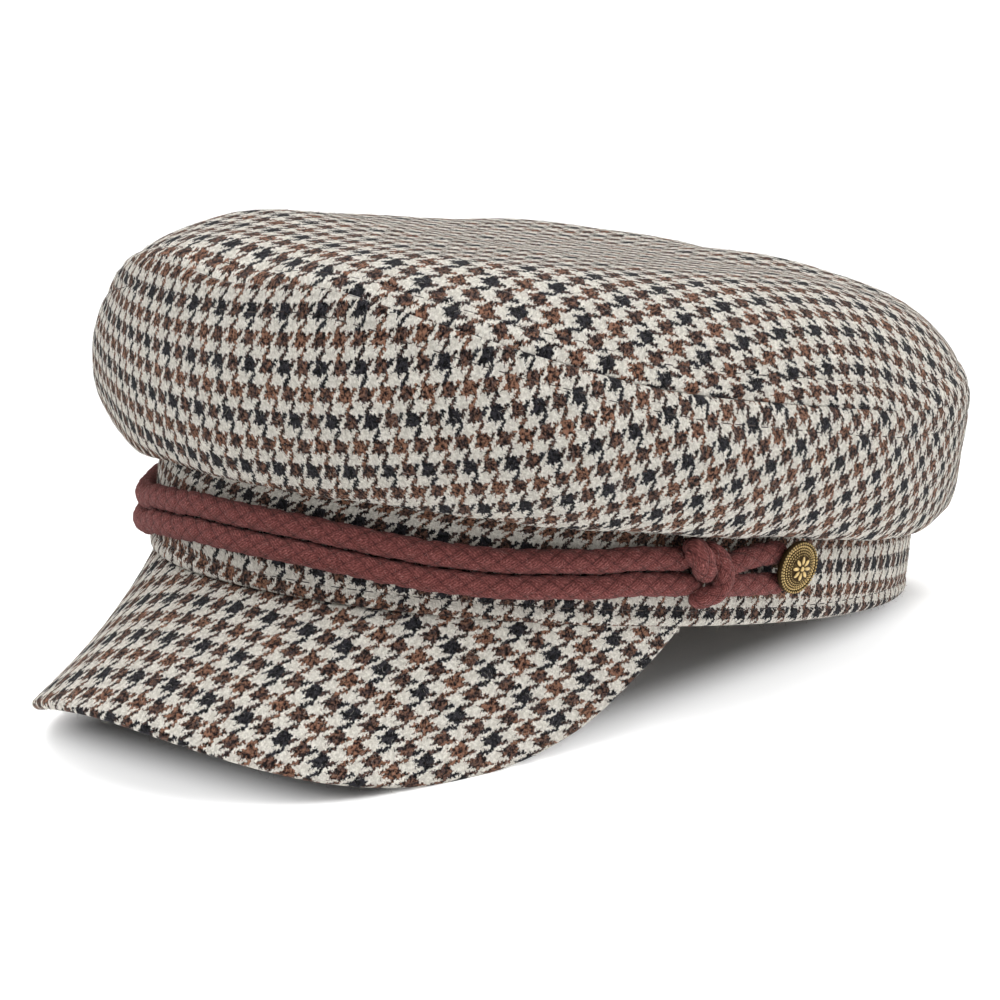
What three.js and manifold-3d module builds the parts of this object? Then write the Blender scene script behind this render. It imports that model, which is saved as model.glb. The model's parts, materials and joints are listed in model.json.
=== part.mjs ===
// A fiddler cap: a soft flat wool crown on a band, a bent visor, and a doubled cord that is
// knotted at both sides and held by two buttons. It rests on a table as it does by itself,
// on the two sides of its visor and the back of its band.
//
// Millimetres, +Z up, the cap's front towards -Y and the wearer's left towards +X. Everything
// is shaped in the cap's own frame, whose z = 0 plane is the band's lower edge, and the whole
// cap is then tipped back to its resting pitch. An angle goes round the band from the front
// (0 degrees) by the wearer's left side (+90) to the back (180).

import * as THREE from 'three';
import { mergeVertices } from 'three/addons/utils/BufferGeometryUtils.js';
import Module from 'manifold-3d';

const wasm = await Module();
wasm.setup();
const { degToRad, lerp, clamp } = THREE.MathUtils;

// Driving dimensions

const OVAL = { side: 79.0, front: 107.7 };    // the band's outer face, 590 mm round
const GAP = 0.3;                              // between one piece and the next
const REST_FLAT = 0.4;                        // how far the cloth is pressed flat on the table
const CLOTH = 1.8;                            // wool with its backing
const BAND = { height: 25, wall: 2.2, softEdge: 0.5 };

// One row for each section of the crown, the same on both sides of the cap. The side panel
// folds out over the band, bulges, and meets the top panel at a seam. Slack flattens the
// cloth between the fold and the bulge.
const CROWN_SECTIONS = [
  { angle: 0, bulgeOut: 15.0, seamOut: 13.5, seamHeight: 68.5, slack: 1.35 },
  { angle: 15, bulgeOut: 15.5, seamOut: 14.0, seamHeight: 70.5, slack: 1.35 },
  { angle: 30, bulgeOut: 16.5, seamOut: 14.0, seamHeight: 66.0, slack: 1.35 },
  { angle: 45, bulgeOut: 18.3, seamOut: 12.0, seamHeight: 60.0, slack: 1.30 },
  { angle: 60, bulgeOut: 16.5, seamOut: 11.0, seamHeight: 55.0, slack: 1.10 },
  { angle: 80, bulgeOut: 14.0, seamOut: 11.0, seamHeight: 52.5, slack: 1.00 },
  { angle: 105, bulgeOut: 11.5, seamOut: 10.5, seamHeight: 50.0, slack: 0.85 },
  { angle: 140, bulgeOut: 10.5, seamOut: 10.0, seamHeight: 52.0, slack: 0.90 },
  { angle: 180, bulgeOut: 13.5, seamOut: 11.0, seamHeight: 51.0, slack: 1.00 },
];
const FOLD = { out: 6.5, height: 22.0 };      // the lowest line of the side panel, over the band
const CROWN_STEPS = 60;                        // sections round the crown and the band
const BULGE_SHARE = 0.62;                      // of the way up from the fold to the seam
const TOP = { height: 76.7, frontRise: 2.5, sideRise: 2.1, shoulder: 7.9 };

// Soft swells and dents of the top panel
const TOP_SWELLS = [
  { x: -35, y: -60, radius: 22, rise: 2.0 },
  { x: -55, y: 55, radius: 24, rise: 2.4 },
  { x: -30, y: 78, radius: 20, rise: 1.8 },
  { x: -5, y: 85, radius: 20, rise: -1.0 },
  { x: 10, y: 60, radius: 22, rise: 1.9 },
  { x: 45, y: 60, radius: 22, rise: -2.4 },
];

// The visor is a bent board: its rulings leave the band almost straight forward, gently down
// at the centre and steeply at the sides
const VISOR = {
  length: 51.6, endAngle: 68.5, sections: 37, spread: 0.209,
  centreSlope: 28.6, sideSlope: 96.8, steepest: 93,
  widthPower: 2.735, tipPower: 1.042, rootIn: 1.2, narrowest: 1.4,
};
const VISOR_COVER = { cloth: 1.2, thickness: 2.6, lip: 3.0 };
const VISOR_UNDERSIDE = { cloth: 0.9, gap: 0.4, share: 0.88 };  // share of the way to the ends

const CORD = { diameter: 5.5, height: 12.0, endAngle: 64.6, sides: 8, steps: 48 };
const BUTTON = { angle: 83.4, height: 14.6, radius: 6.3, rim: 1.3, dome: 1.7, shank: 1.3 };

const COLOURS = { wool: 0x9a9088, lining: 0x2a2729, cord: 0x7a4140, brass: 0x9c8148 };

// Geometry helpers

function ovalPoint(angle, out, height) {
  const a = degToRad(angle);
  const x = (OVAL.side + out) * Math.sin(a);
  const y = -(OVAL.front + out) * Math.cos(a);
  return new THREE.Vector3(x, y, height);
}

function outward(angle) {
  const a = degToRad(angle);
  return new THREE.Vector3(OVAL.front * Math.sin(a), -OVAL.side * Math.cos(a), 0).normalize();
}

// A closed skin over rings of points. Every ring has the same number of points; the rings
// close on the first one, or the skin is capped at both ends.
function skin(rings, closed) {
  const width = rings[0].length;
  const positions = rings.flat().flatMap((p) => [p.x, p.y, p.z]);
  const triangles = [];
  const steps = closed ? rings.length : rings.length - 1;
  for (let i = 0; i < steps; i += 1) {
    const j = (i + 1) % rings.length;
    for (let k = 0; k < width; k += 1) {
      const n = (k + 1) % width;
      const [a, b, c, d] = [i * width + k, i * width + n, j * width + n, j * width + k];
      triangles.push(a, b, c, a, c, d);
    }
  }
  if (!closed) {
    for (const [ring, flip] of [[0, true], [rings.length - 1, false]]) {
      const faces = THREE.ShapeUtils.triangulateShape(flatOutline(rings[ring]), []);
      for (const face of faces) {
        const [a, b, c] = face.map((k) => ring * width + k);
        triangles.push(...(flip ? [a, c, b] : [a, b, c]));
      }
    }
  }
  return asSolid(positions, triangles);
}

// The outline of one end of a skin, laid flat and counter-clockwise in its own plane
function flatOutline(ring) {
  const centre = ring.reduce((sum, p) => sum.add(p), new THREE.Vector3()).divideScalar(ring.length);
  const normal = new THREE.Vector3();
  ring.forEach((p, k) => {
    const next = ring[(k + 1) % ring.length];
    normal.add(p.clone().sub(centre).cross(next.clone().sub(centre)));
  });
  normal.normalize();
  const u = ring[0].clone().sub(centre).normalize();
  const v = normal.clone().cross(u);
  return ring.map((p) => new THREE.Vector2(p.clone().sub(centre).dot(u), p.clone().sub(centre).dot(v)));
}

function asSolid(positions, triangles) {
  const mesh = (order) => new wasm.Mesh({
    numProp: 3,
    vertProperties: Float32Array.from(positions),
    triVerts: Uint32Array.from(order),
  });
  const solid = new wasm.Manifold(mesh(triangles));
  if (solid.volume() > 0) return solid;
  const turned = [];
  for (let i = 0; i < triangles.length; i += 3) {
    turned.push(triangles[i], triangles[i + 2], triangles[i + 1]);
  }
  return new wasm.Manifold(mesh(turned));
}

function solidFromGeometry(geometry) {
  const bare = geometry.clone();
  bare.deleteAttribute('normal');
  bare.deleteAttribute('uv');
  const merged = mergeVertices(bare, 1e-4);
  return asSolid(merged.attributes.position.array, merged.index.array);
}

function meshFromSolid(name, solid, colour, metalness = 0) {
  const { vertProperties, triVerts } = solid.getMesh();
  const geometry = new THREE.BufferGeometry();
  geometry.setAttribute('position', new THREE.BufferAttribute(vertProperties, 3));
  geometry.setIndex(new THREE.BufferAttribute(triVerts, 1));
  geometry.computeVertexNormals();
  const roughness = metalness > 0 ? 0.4 : 0.95;
  const material = new THREE.MeshStandardMaterial({ color: colour, roughness, metalness });
  const mesh = new THREE.Mesh(geometry, material);
  mesh.name = name;
  return mesh;
}

// Crown

// A smooth column of CROWN_SECTIONS at any angle, mirrored at the front and at the back
function crownValue(column, angle) {
  const rows = CROWN_SECTIONS;
  const last = rows.length - 1;
  const away = Math.abs(((angle + 180) % 360 + 360) % 360 - 180);
  const i = Math.min(rows.findIndex((row, k) => k < last && away <= rows[k + 1].angle), last - 1);
  const before = i > 0 ? rows[i - 1] : { ...rows[1], angle: -rows[1].angle };
  const after = i + 2 <= last ? rows[i + 2] : { ...rows[last - 1], angle: 360 - rows[last - 1].angle };
  const [low, high] = [rows[i], rows[i + 1]];
  const span = high.angle - low.angle;
  const t = (away - low.angle) / span;
  const lowRate = (high[column] - before[column]) / (high.angle - before.angle) * span;
  const highRate = (after[column] - low[column]) / (after.angle - low.angle) * span;
  const [t2, t3] = [t * t, t * t * t];
  return (2 * t3 - 3 * t2 + 1) * low[column] + (t3 - 2 * t2 + t) * lowRate
    + (3 * t2 - 2 * t3) * high[column] + (t3 - t2) * highRate;
}

// The side panel's outer face, in distance out from the band and height: from its foot on the
// band, out and down to the fold, up round the bulge and in to the seam
function sideProfile(angle) {
  const bulge = crownValue('bulgeOut', angle);
  const seam = { out: crownValue('seamOut', angle), height: crownValue('seamHeight', angle) };
  const foot = BAND.height + GAP;
  const bulgeHeight = lerp(FOLD.height, seam.height, BULGE_SHARE);
  const slack = crownValue('slack', angle);
  const points = [[-BAND.wall, foot], [0.4, foot], [FOLD.out * 0.55, lerp(foot, FOLD.height, 0.75)]];
  for (const turn of [0, 22.5, 45, 67.5, 90]) {
    const a = degToRad(turn);
    points.push([
      lerp(FOLD.out, bulge, Math.sin(a) ** slack),
      lerp(FOLD.height, bulgeHeight, 1 - Math.cos(a)),
    ]);
  }
  for (const t of [0.5, 1]) {
    points.push([lerp(bulge, seam.out, t * t), lerp(bulgeHeight, seam.height, t)]);
  }
  return points.map(([out, height]) => new THREE.Vector2(out, height));
}

function topPoint(angle, share) {
  const rim = ovalPoint(angle, crownValue('seamOut', angle), crownValue('seamHeight', angle));
  const [x, y] = [rim.x * share, rim.y * share];
  const plain = TOP.height - TOP.frontRise * y / OVAL.front + TOP.sideRise * (x / OVAL.side) ** 2;
  let z = lerp(rim.z, plain, 1 - share ** TOP.shoulder);
  for (const swell of TOP_SWELLS) {
    const away = ((x - swell.x) ** 2 + (y - swell.y) ** 2) / swell.radius ** 2;
    z += swell.rise * Math.exp(-away) * (1 - share ** 12);
  }
  return new THREE.Vector3(x, y, z);
}

// Both panels end on one mitre at the seam: the way along the cloth there, halfway between
// the panels, and the way from the outer face to the inner one
function seamMitre(angle) {
  const profile = sideProfile(angle);
  const rise = profile.at(-1).clone().sub(profile.at(-2)).normalize();
  const level = outward(angle);
  const side = level.clone().multiplyScalar(rise.x).setZ(rise.y);
  const top = topPoint(angle, 0.985).sub(topPoint(angle, 1)).normalize();
  const along = side.clone().add(top).normalize();
  const inward = level.clone().multiplyScalar(-along.z).setZ(along.dot(level)).normalize();
  const depth = CLOTH / Math.max(Math.cos(side.angleTo(top) / 2), 0.5);
  return { along, inward: inward.multiplyScalar(depth) };
}

function crownSide() {
  const rings = [];
  for (let angle = 0; angle < 360; angle += 360 / CROWN_STEPS) {
    const profile = sideProfile(angle);
    const outer = profile.map((p) => ovalPoint(angle, p.x, p.y));
    const inner = profile.map((p, k) => {
      const from = profile[Math.max(k - 1, 0)];
      const to = profile[Math.min(k + 1, profile.length - 1)];
      const run = to.clone().sub(from).normalize();
      return ovalPoint(angle, p.x - run.y * CLOTH, p.y + run.x * CLOTH);
    });
    const mitre = seamMitre(angle);
    const end = outer.at(-1).clone().addScaledVector(mitre.along, -GAP / 2);
    outer[outer.length - 1] = end;
    inner[inner.length - 1] = end.clone().add(mitre.inward);
    rings.push([...outer, ...inner.reverse()]);
  }
  return skin(rings, true);
}

function crownTop() {
  const shares = [1, 0.97, 0.935, 0.89, 0.83, 0.74, 0.6, 0.42, 0.2];
  const rings = [];
  const count = CROWN_STEPS;
  for (let k = 0; k < count; k += 1) {
    const angle = k * 360 / count;
    const outer = shares.map((share) => topPoint(angle, share));
    const inner = shares.map((share, i) => outer[i].clone().addScaledVector(topNormal(angle, share), -CLOTH));
    const mitre = seamMitre(angle);
    outer[0] = outer[0].addScaledVector(mitre.along, GAP / 2);
    inner[0] = outer[0].clone().add(mitre.inward);
    rings.push({ outer, inner });
  }
  const centre = topPoint(0, 0);
  const points = [];
  for (const ring of rings) points.push(...ring.outer, ...ring.inner);
  points.push(centre, centre.clone().setZ(centre.z - CLOTH));
  const depth = shares.length;
  const at = (k, i, inside) => (k % count) * 2 * depth + (inside ? depth : 0) + i;
  const [hub, hubInside] = [points.length - 2, points.length - 1];
  const triangles = [];
  const quad = (a, b, c, d) => triangles.push(a, b, c, a, c, d);
  for (let k = 0; k < count; k += 1) {
    for (let i = 0; i + 1 < depth; i += 1) {
      quad(at(k, i), at(k + 1, i), at(k + 1, i + 1), at(k, i + 1));
      quad(at(k, i + 1, true), at(k + 1, i + 1, true), at(k + 1, i, true), at(k, i, true));
    }
    quad(at(k, 0, true), at(k + 1, 0, true), at(k + 1, 0), at(k, 0));
    triangles.push(at(k, depth - 1), at(k + 1, depth - 1), hub);
    triangles.push(at(k + 1, depth - 1, true), at(k, depth - 1, true), hubInside);
  }
  return asSolid(points.flatMap((p) => [p.x, p.y, p.z]), triangles);
}

function topNormal(angle, share) {
  const [turn, step] = [2, 0.01];
  const round = topPoint(angle + turn, share).sub(topPoint(angle - turn, share));
  const inwards = topPoint(angle, share - step).sub(topPoint(angle, share + step));
  return round.cross(inwards).normalize();
}

// Band

function band() {
  const { height, wall, softEdge } = BAND;
  const profile = [
    [-wall, 0], [-softEdge, 0], [0, softEdge], [0, height / 2], [0, height], [-wall, height],
  ];
  const rings = [];
  for (let angle = 0; angle < 360; angle += 360 / CROWN_STEPS) {
    rings.push(profile.map(([out, z]) => ovalPoint(angle, out, z)));
  }
  return skin(rings, true);
}

// Visor

// One ruling of the visor: where it leaves the band, which way it runs, and its length
function visorRuling(t) {
  const angle = t * VISOR.endAngle;
  const turn = VISOR.spread * degToRad(angle);
  const slope = degToRad(Math.min(VISOR.centreSlope + VISOR.sideSlope * t * t, VISOR.steepest));
  const reach = Math.max(1 - Math.abs(t) ** VISOR.widthPower, 0) ** (1 / VISOR.tipPower);
  const way = new THREE.Vector3(
    Math.sin(turn) * Math.cos(slope), -Math.cos(turn) * Math.cos(slope), -Math.sin(slope),
  );
  const root = ovalPoint(angle, -VISOR.rootIn, -GAP);
  return { root, way, length: Math.max(VISOR.length * reach, VISOR.narrowest) };
}

function visorNormal(t, distance) {
  const step = 0.01;
  const at = (s) => {
    const ruling = visorRuling(s);
    return ruling.root.addScaledVector(ruling.way, distance);
  };
  const round = at(Math.min(t + step, 1)).sub(at(Math.max(t - step, -1)));
  const normal = visorRuling(t).way.cross(round).normalize();
  return normal.dot(outward(t * VISOR.endAngle).setZ(1)) < 0 ? normal.negate() : normal;
}

// A piece of the visor from a section that takes a ruling's length and gives points as
// distance along the ruling and depth under the visor's upper face
function visorPiece(section, share = 1) {
  const rings = [];
  for (let i = 0; i < VISOR.sections; i += 1) {
    const t = share * lerp(-1, 1, i / (VISOR.sections - 1));
    const { root, way, length } = visorRuling(t);
    const scale = clamp(length / 12, 0.3, 1);
    rings.push(section(length, scale).map(([distance, depth]) => root.clone()
      .addScaledVector(way, distance)
      .addScaledVector(visorNormal(t, distance), -depth)));
  }
  return skin(rings, false);
}

function coverSection(length, scale) {
  const cloth = VISOR_COVER.cloth * scale;
  const thickness = VISOR_COVER.thickness * scale;
  const lip = VISOR_COVER.lip * scale;
  const round = thickness / 2;
  const edge = Math.max(length, lip + 0.2);
  const shares = [0, 0.25, 0.5, 0.75, 1];
  const upper = shares.slice(0, -1).map((share) => [share * (edge - lip), 0]);
  const rolled = [-90, -40, 0, 40, 90].map((turn) => [
    edge - round + round * Math.cos(degToRad(turn)), round + round * Math.sin(degToRad(turn)),
  ]);
  const inner = shares.toReversed().map((share) => [share * (edge - lip), cloth]);
  return [...upper, ...rolled, [edge - lip, thickness], ...inner];
}

function undersideSection(length, scale) {
  const top = VISOR_COVER.cloth * scale + VISOR_UNDERSIDE.gap;
  const bottom = top + VISOR_UNDERSIDE.cloth * scale;
  const end = length - VISOR_COVER.lip * scale - GAP;
  const shares = [0, 0.25, 0.5, 0.75, 1];
  const upper = shares.map((share) => [share * end, top]);
  return [...upper, ...shares.toReversed().map((share) => [share * end, bottom])];
}

// Cord

function tube(points, diameter, steps) {
  const outline = new THREE.Shape();
  for (let k = 0; k < CORD.sides; k += 1) {
    const a = k * 2 * Math.PI / CORD.sides;
    const [x, y] = [diameter / 2 * Math.cos(a), diameter / 2 * Math.sin(a)];
    if (k === 0) outline.moveTo(x, y);
    else outline.lineTo(x, y);
  }
  const extrudePath = new THREE.CatmullRomCurve3(points, false, 'centripetal');
  return solidFromGeometry(new THREE.ExtrudeGeometry(outline, { steps, extrudePath }));
}

const CORD_OUT = CORD.diameter / 2 + GAP;
const STRAND_RISE = CORD.diameter / 2 + GAP / 2;

function strand(rise) {
  const points = [];
  for (let k = 0; k <= 40; k += 1) {
    points.push(ovalPoint(lerp(-CORD.endAngle, CORD.endAngle, k / 40), CORD_OUT, CORD.height + rise));
  }
  return tube(points, CORD.diameter, CORD.steps);
}

// One row for each point of the knot's cords: angle round the band, out from the cord's own
// line, and height. Both strands run in, one wraps down over them, one loops round the end,
// and two tails run on to the button.
const KNOT_CORDS = [
  { name: 'upper strand', diameter: 5.4, route: [[64.9, 0, 14.9], [69.2, 0.4, 15.0]] },
  { name: 'lower strand', diameter: 5.4, route: [[64.9, 0, 9.1], [69.4, 0.4, 10.8]] },
  { name: 'wrap', diameter: 6.0, route: [[67.2, 0.6, 17.9], [67.5, 3.0, 17.2], [69.1, 4.4, 14.6],
    [70.3, 3.4, 12.0], [70.6, 0.6, 10.6]] },
  { name: 'loop', diameter: 5.4, route: [[68.6, 0.6, 18.0], [70.6, 2.6, 17.2], [72.4, 3.0, 14.6],
    [73.0, 3.0, 11.8], [72.0, 2.8, 8.8], [70.0, 2.2, 7.0], [68.0, 0.9, 7.2]] },
  { name: 'upper tail', diameter: 5.4, route: [[69.8, 0.4, 13.9], [73.4, 0, 14.9], [78, 0, 16.5],
    [81.9, 0, 17.5]] },
  { name: 'lower tail', diameter: 5.4, route: [[69.8, 0.4, 11.4], [74.3, 0, 10.6], [78, 0, 10.0],
    [81.9, 0, 9.8]] },
];

const KNOT_CORE = { angle: 69.3, out: 0.2, height: 13.0, radius: 3.4 };

function knot(side) {
  const core = new THREE.SphereGeometry(KNOT_CORE.radius, 10, 6);
  core.translate(...ovalPoint(side * KNOT_CORE.angle, CORD_OUT + KNOT_CORE.out, KNOT_CORE.height));
  let solid = solidFromGeometry(core);
  for (const { diameter, route } of KNOT_CORDS) {
    const points = route.map(([angle, out, z]) => ovalPoint(side * angle, CORD_OUT + out, z));
    const piece = tube(points, diameter, 3 * (route.length - 1));
    solid = solid.add(piece);
  }
  return solid;
}

// Buttons

function button(side) {
  const back = CORD.diameter + 2 * GAP;
  const { radius, rim, dome, shank } = BUTTON;
  const profile = [
    [0, GAP], [shank * 1.6, GAP], [shank * 1.6, GAP + 0.6], [shank, GAP + 1.2], [shank, back],
    [radius - 0.4, back], [radius, back + 0.4], [radius, back + rim - 0.3], [radius - 0.5, back + rim],
    [radius * 0.6, back + rim + dome * 0.7], [radius * 0.3, back + rim + dome * 0.94],
    [0, back + rim + dome],
  ].map(([r, h]) => new THREE.Vector2(r, h));
  const geometry = new THREE.LatheGeometry(profile, 16);
  const angle = side * BUTTON.angle;
  const turn = new THREE.Quaternion().setFromUnitVectors(new THREE.Vector3(0, 1, 0), outward(angle));
  const foot = ovalPoint(angle, 0, BUTTON.height);
  geometry.applyMatrix4(new THREE.Matrix4().compose(foot, turn, new THREE.Vector3(1, 1, 1)));
  return solidFromGeometry(geometry);
}

// Resting pose

function lowest(solid, pitch) {
  const { vertProperties } = solid.getMesh();
  let low = Infinity;
  for (let k = 0; k < vertProperties.length; k += 3) {
    low = Math.min(low, vertProperties[k + 2] * Math.cos(pitch) - vertProperties[k + 1] * Math.sin(pitch));
  }
  return low;
}

// The nose-up pitch at which the visor's sides and the back of the band stand on one table
function restingPitch(front, back) {
  let [level, steep] = [degToRad(4), degToRad(16)];
  for (let k = 0; k < 40; k += 1) {
    const middle = (level + steep) / 2;
    if (lowest(front, middle) < lowest(back, middle)) level = middle;
    else steep = middle;
  }
  return (level + steep) / 2;
}

const solids = [
  { name: 'crown_top', solid: crownTop(), colour: COLOURS.wool },
  { name: 'crown_side', solid: crownSide(), colour: COLOURS.wool },
  { name: 'band', solid: band(), colour: COLOURS.wool },
  { name: 'visor_cover', solid: visorPiece(coverSection), colour: COLOURS.wool },
  { name: 'visor_underside', solid: visorPiece(undersideSection, VISOR_UNDERSIDE.share), colour: COLOURS.lining },
  { name: 'cord_upper', solid: strand(STRAND_RISE), colour: COLOURS.cord },
  { name: 'cord_lower', solid: strand(-STRAND_RISE), colour: COLOURS.cord },
  { name: 'knot_left', solid: knot(1), colour: COLOURS.cord },
  { name: 'knot_right', solid: knot(-1), colour: COLOURS.cord },
  { name: 'button_left', solid: button(1), colour: COLOURS.brass, metalness: 1 },
  { name: 'button_right', solid: button(-1), colour: COLOURS.brass, metalness: 1 },
];
const named = (name) => solids.find((piece) => piece.name === name).solid;

const pitch = restingPitch(named('visor_cover'), named('band'));
const floor = lowest(named('band'), pitch) + REST_FLAT;
const floorNormal = [0, -Math.sin(pitch), Math.cos(pitch)];

const cap = new THREE.Group();
for (const { name, solid, colour, metalness } of solids) {
  cap.add(meshFromSolid(name, solid.trimByPlane(floorNormal, floor), colour, metalness));
}
cap.rotation.x = -pitch;

// The origin is the bottom centre of the cap's box
const object = new THREE.Group();
object.add(cap);
const box = new THREE.Box3().setFromObject(object, true);
cap.position.set(0, -(box.min.y + box.max.y) / 2, -floor);

export default object;
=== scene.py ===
# %% [markdown]
# # A fiddler cap in gun-club check
#
# This lesson dresses the solids of a soft wool cap. The cap has a round top panel and a side
# panel that puffs out over a straight band, a bent visor, a doubled plaited cord with a knot
# at each side, and two brass buttons. Every solid is replaced by a finer mesh of the same
# form, made from nearly the same numbers, so the cap keeps its size and its place.

# %% Load the frame
import json
import math
import random

import bmesh
import bpy
from mathutils import Matrix, Vector, noise

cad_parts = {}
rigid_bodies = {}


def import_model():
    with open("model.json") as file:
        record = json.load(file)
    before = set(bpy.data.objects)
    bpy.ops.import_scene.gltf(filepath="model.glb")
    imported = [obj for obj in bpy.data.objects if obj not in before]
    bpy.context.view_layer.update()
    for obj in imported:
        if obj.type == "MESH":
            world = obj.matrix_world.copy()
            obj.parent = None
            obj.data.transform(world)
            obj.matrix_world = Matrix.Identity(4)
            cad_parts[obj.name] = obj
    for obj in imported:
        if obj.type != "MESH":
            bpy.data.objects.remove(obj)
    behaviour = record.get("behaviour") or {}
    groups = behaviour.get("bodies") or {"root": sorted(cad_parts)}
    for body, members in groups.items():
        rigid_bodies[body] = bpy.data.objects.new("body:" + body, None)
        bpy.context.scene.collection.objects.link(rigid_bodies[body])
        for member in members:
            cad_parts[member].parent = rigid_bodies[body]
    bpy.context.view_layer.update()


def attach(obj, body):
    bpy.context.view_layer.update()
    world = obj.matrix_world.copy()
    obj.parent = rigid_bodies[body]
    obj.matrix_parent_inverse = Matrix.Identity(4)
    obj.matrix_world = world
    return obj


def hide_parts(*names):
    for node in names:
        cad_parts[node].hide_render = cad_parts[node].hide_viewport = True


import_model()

# %% [markdown]
# ## The cap's own frame
#
# It is easier to shape a cap that stands level. Here z = 0 is the lower edge of the band, the
# front looks to -Y, the wearer's left is +X, and lengths are millimetres. An angle goes round
# the band from the front (0 degrees) by the wearer's left (+90) to the back (180). One matrix
# then tips the level cap back onto its visor and scales it to metres. A matrix is used, and
# not the object's rotation, because every finished piece has to sit at the origin unturned.

# %% From the level cap to the table
MM = 0.001
REST_PITCH = math.radians(9.98693)
TIPPED = Matrix.Translation((0, 0.0133937, 0.018191)) @ Matrix.Rotation(-REST_PITCH, 4, "X")
TO_TABLE = TIPPED @ Matrix.Scale(MM, 4)

# %% [markdown]
# ## Camera
#
# The photo was taken with a long lens from the front left, a little above the brim. The
# camera looks at the middle of the band's lower edge, and a small shift puts that point where
# the photo has it. A look-at matrix is built from the two angles, then carried through the
# cap's frame, because the angles were found with the cap tipped a third of a degree less.

# %% Camera
VIEW = {"azimuth": 39.0, "elevation": 15.938, "distance": 1.100, "found_at": 9.677}
LENS = {"length": 163.72, "sensor": 36.0, "shift_x": -0.03767, "shift_y": 0.06223}

azimuth = math.radians(VIEW["azimuth"])
elevation = math.radians(VIEW["elevation"])
forward = Vector((
    -math.sin(azimuth) * math.cos(elevation),
    math.cos(azimuth) * math.cos(elevation),
    -math.sin(elevation),
))
look = forward.to_track_quat("-Z", "Y").to_matrix().to_4x4()
look.translation = -forward * VIEW["distance"]
scene = bpy.context.scene
camera_data = bpy.data.cameras.new("camera")
camera_data.lens = LENS["length"]
camera_data.sensor_width = LENS["sensor"]
camera_data.shift_x = LENS["shift_x"]
camera_data.shift_y = LENS["shift_y"]
camera = bpy.data.objects.new("camera", camera_data)
camera.matrix_world = TIPPED @ Matrix.Rotation(math.radians(VIEW["found_at"]), 4, "X") @ look
scene.collection.objects.link(camera)
scene.camera = camera
print("camera at", tuple(round(x, 3) for x in camera.matrix_world.translation))

# %% [markdown]
# ## Small helpers for shader nodes
#
# The cloth's pattern is worked out with many small sums. Each helper adds one Math or Mix
# node and hands back its output, so that the pattern can be read like ordinary arithmetic.

# %% Node helpers


class Nodes:
    """A material's node tree, with short ways to add to it."""

    def __init__(self, name, roughness, sheen=0.0, metallic=0.0, shine=0.5):
        self.material = bpy.data.materials.new(name)
        self.material.use_nodes = True
        self.tree = self.material.node_tree
        self.shader = self.tree.nodes["Principled BSDF"]
        self.shader.inputs["Roughness"].default_value = roughness
        self.shader.inputs["Sheen Weight"].default_value = sheen
        self.shader.inputs["Sheen Roughness"].default_value = 0.5
        self.shader.inputs["Metallic"].default_value = metallic
        self.shader.inputs["Specular IOR Level"].default_value = shine

    def add(self, kind, **settings):
        made = self.tree.nodes.new(kind)
        for key, value in settings.items():
            setattr(made, key, value)
        return made

    def link(self, source, target):
        if isinstance(source, (int, float)):
            target.default_value = source
        elif isinstance(source, tuple):
            target.default_value = (*source, 1.0)[: len(target.default_value)]
        else:
            self.tree.links.new(source, target)

    def math(self, operation, a, b=0.0, c=0.0):
        made = self.add("ShaderNodeMath", operation=operation)
        for value, socket in zip((a, b, c), made.inputs):
            self.link(value, socket)
        return made.outputs[0]

    def mix(self, share, a, b):
        """Colour a where share is 0 and b where it is 1. A Mix node's colours are 6, 7 and 2."""
        made = self.add("ShaderNodeMix", data_type="RGBA")
        self.link(share, made.inputs[0])
        self.link(a, made.inputs[6])
        self.link(b, made.inputs[7])
        return made.outputs[2]

    def shade(self, colour, factor):
        made = self.add("ShaderNodeVectorMath", operation="SCALE")
        self.link(colour, made.inputs[0])
        self.link(factor, made.inputs["Scale"])
        return made.outputs[0]

    def noise(self, vector, scale, detail=2.0, roughness=0.5):
        made = self.add("ShaderNodeTexNoise")
        self.link(vector, made.inputs["Vector"])
        made.inputs["Scale"].default_value = scale
        made.inputs["Detail"].default_value = detail
        made.inputs["Roughness"].default_value = roughness
        return made.outputs["Fac"]

    def around(self, value, low, high, start=0.3, end=0.7):
        """A noise value from start to end, spread out from low to high."""
        made = self.add("ShaderNodeMapRange", clamp=True)
        self.link(value, made.inputs["Value"])
        made.inputs["From Min"].default_value = start
        made.inputs["From Max"].default_value = end
        made.inputs["To Min"].default_value = low
        made.inputs["To Max"].default_value = high
        return made.outputs["Result"]

    def split(self, vector):
        made = self.add("ShaderNodeSeparateXYZ")
        self.link(vector, made.inputs[0])
        return made.outputs[0], made.outputs[1]

    def join(self, x, y, z=0.0):
        made = self.add("ShaderNodeCombineXYZ")
        for value, socket in zip((x, y, z), made.inputs):
            self.link(value, socket)
        return made.outputs[0]

    def uv(self, name):
        return self.add("ShaderNodeUVMap", uv_map=name).outputs[0]

    def finish(self, colour, height, distance, strength=1.0):
        bump = self.add("ShaderNodeBump")
        bump.inputs["Distance"].default_value = distance
        bump.inputs["Strength"].default_value = strength
        self.link(height, bump.inputs["Height"])
        self.link(colour, self.shader.inputs["Base Color"])
        self.link(bump.outputs[0], self.shader.inputs["Normal"])
        return self.material


# %% [markdown]
# ## Table and light
#
# A product photo like this one is lit from both sides by broad softboxes, with the white
# paper lit so strongly that all but the closest shadow burns out to pure white. Broad suns
# stand in for the softboxes, because their light doesn't fall off, so the paper stays white
# out to its edges. The paper also glows a little in a ring round a soft patch under the cap.
# That is what overexposure does to a soft shadow's outer part: it goes, and the dark core
# stays.

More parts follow.
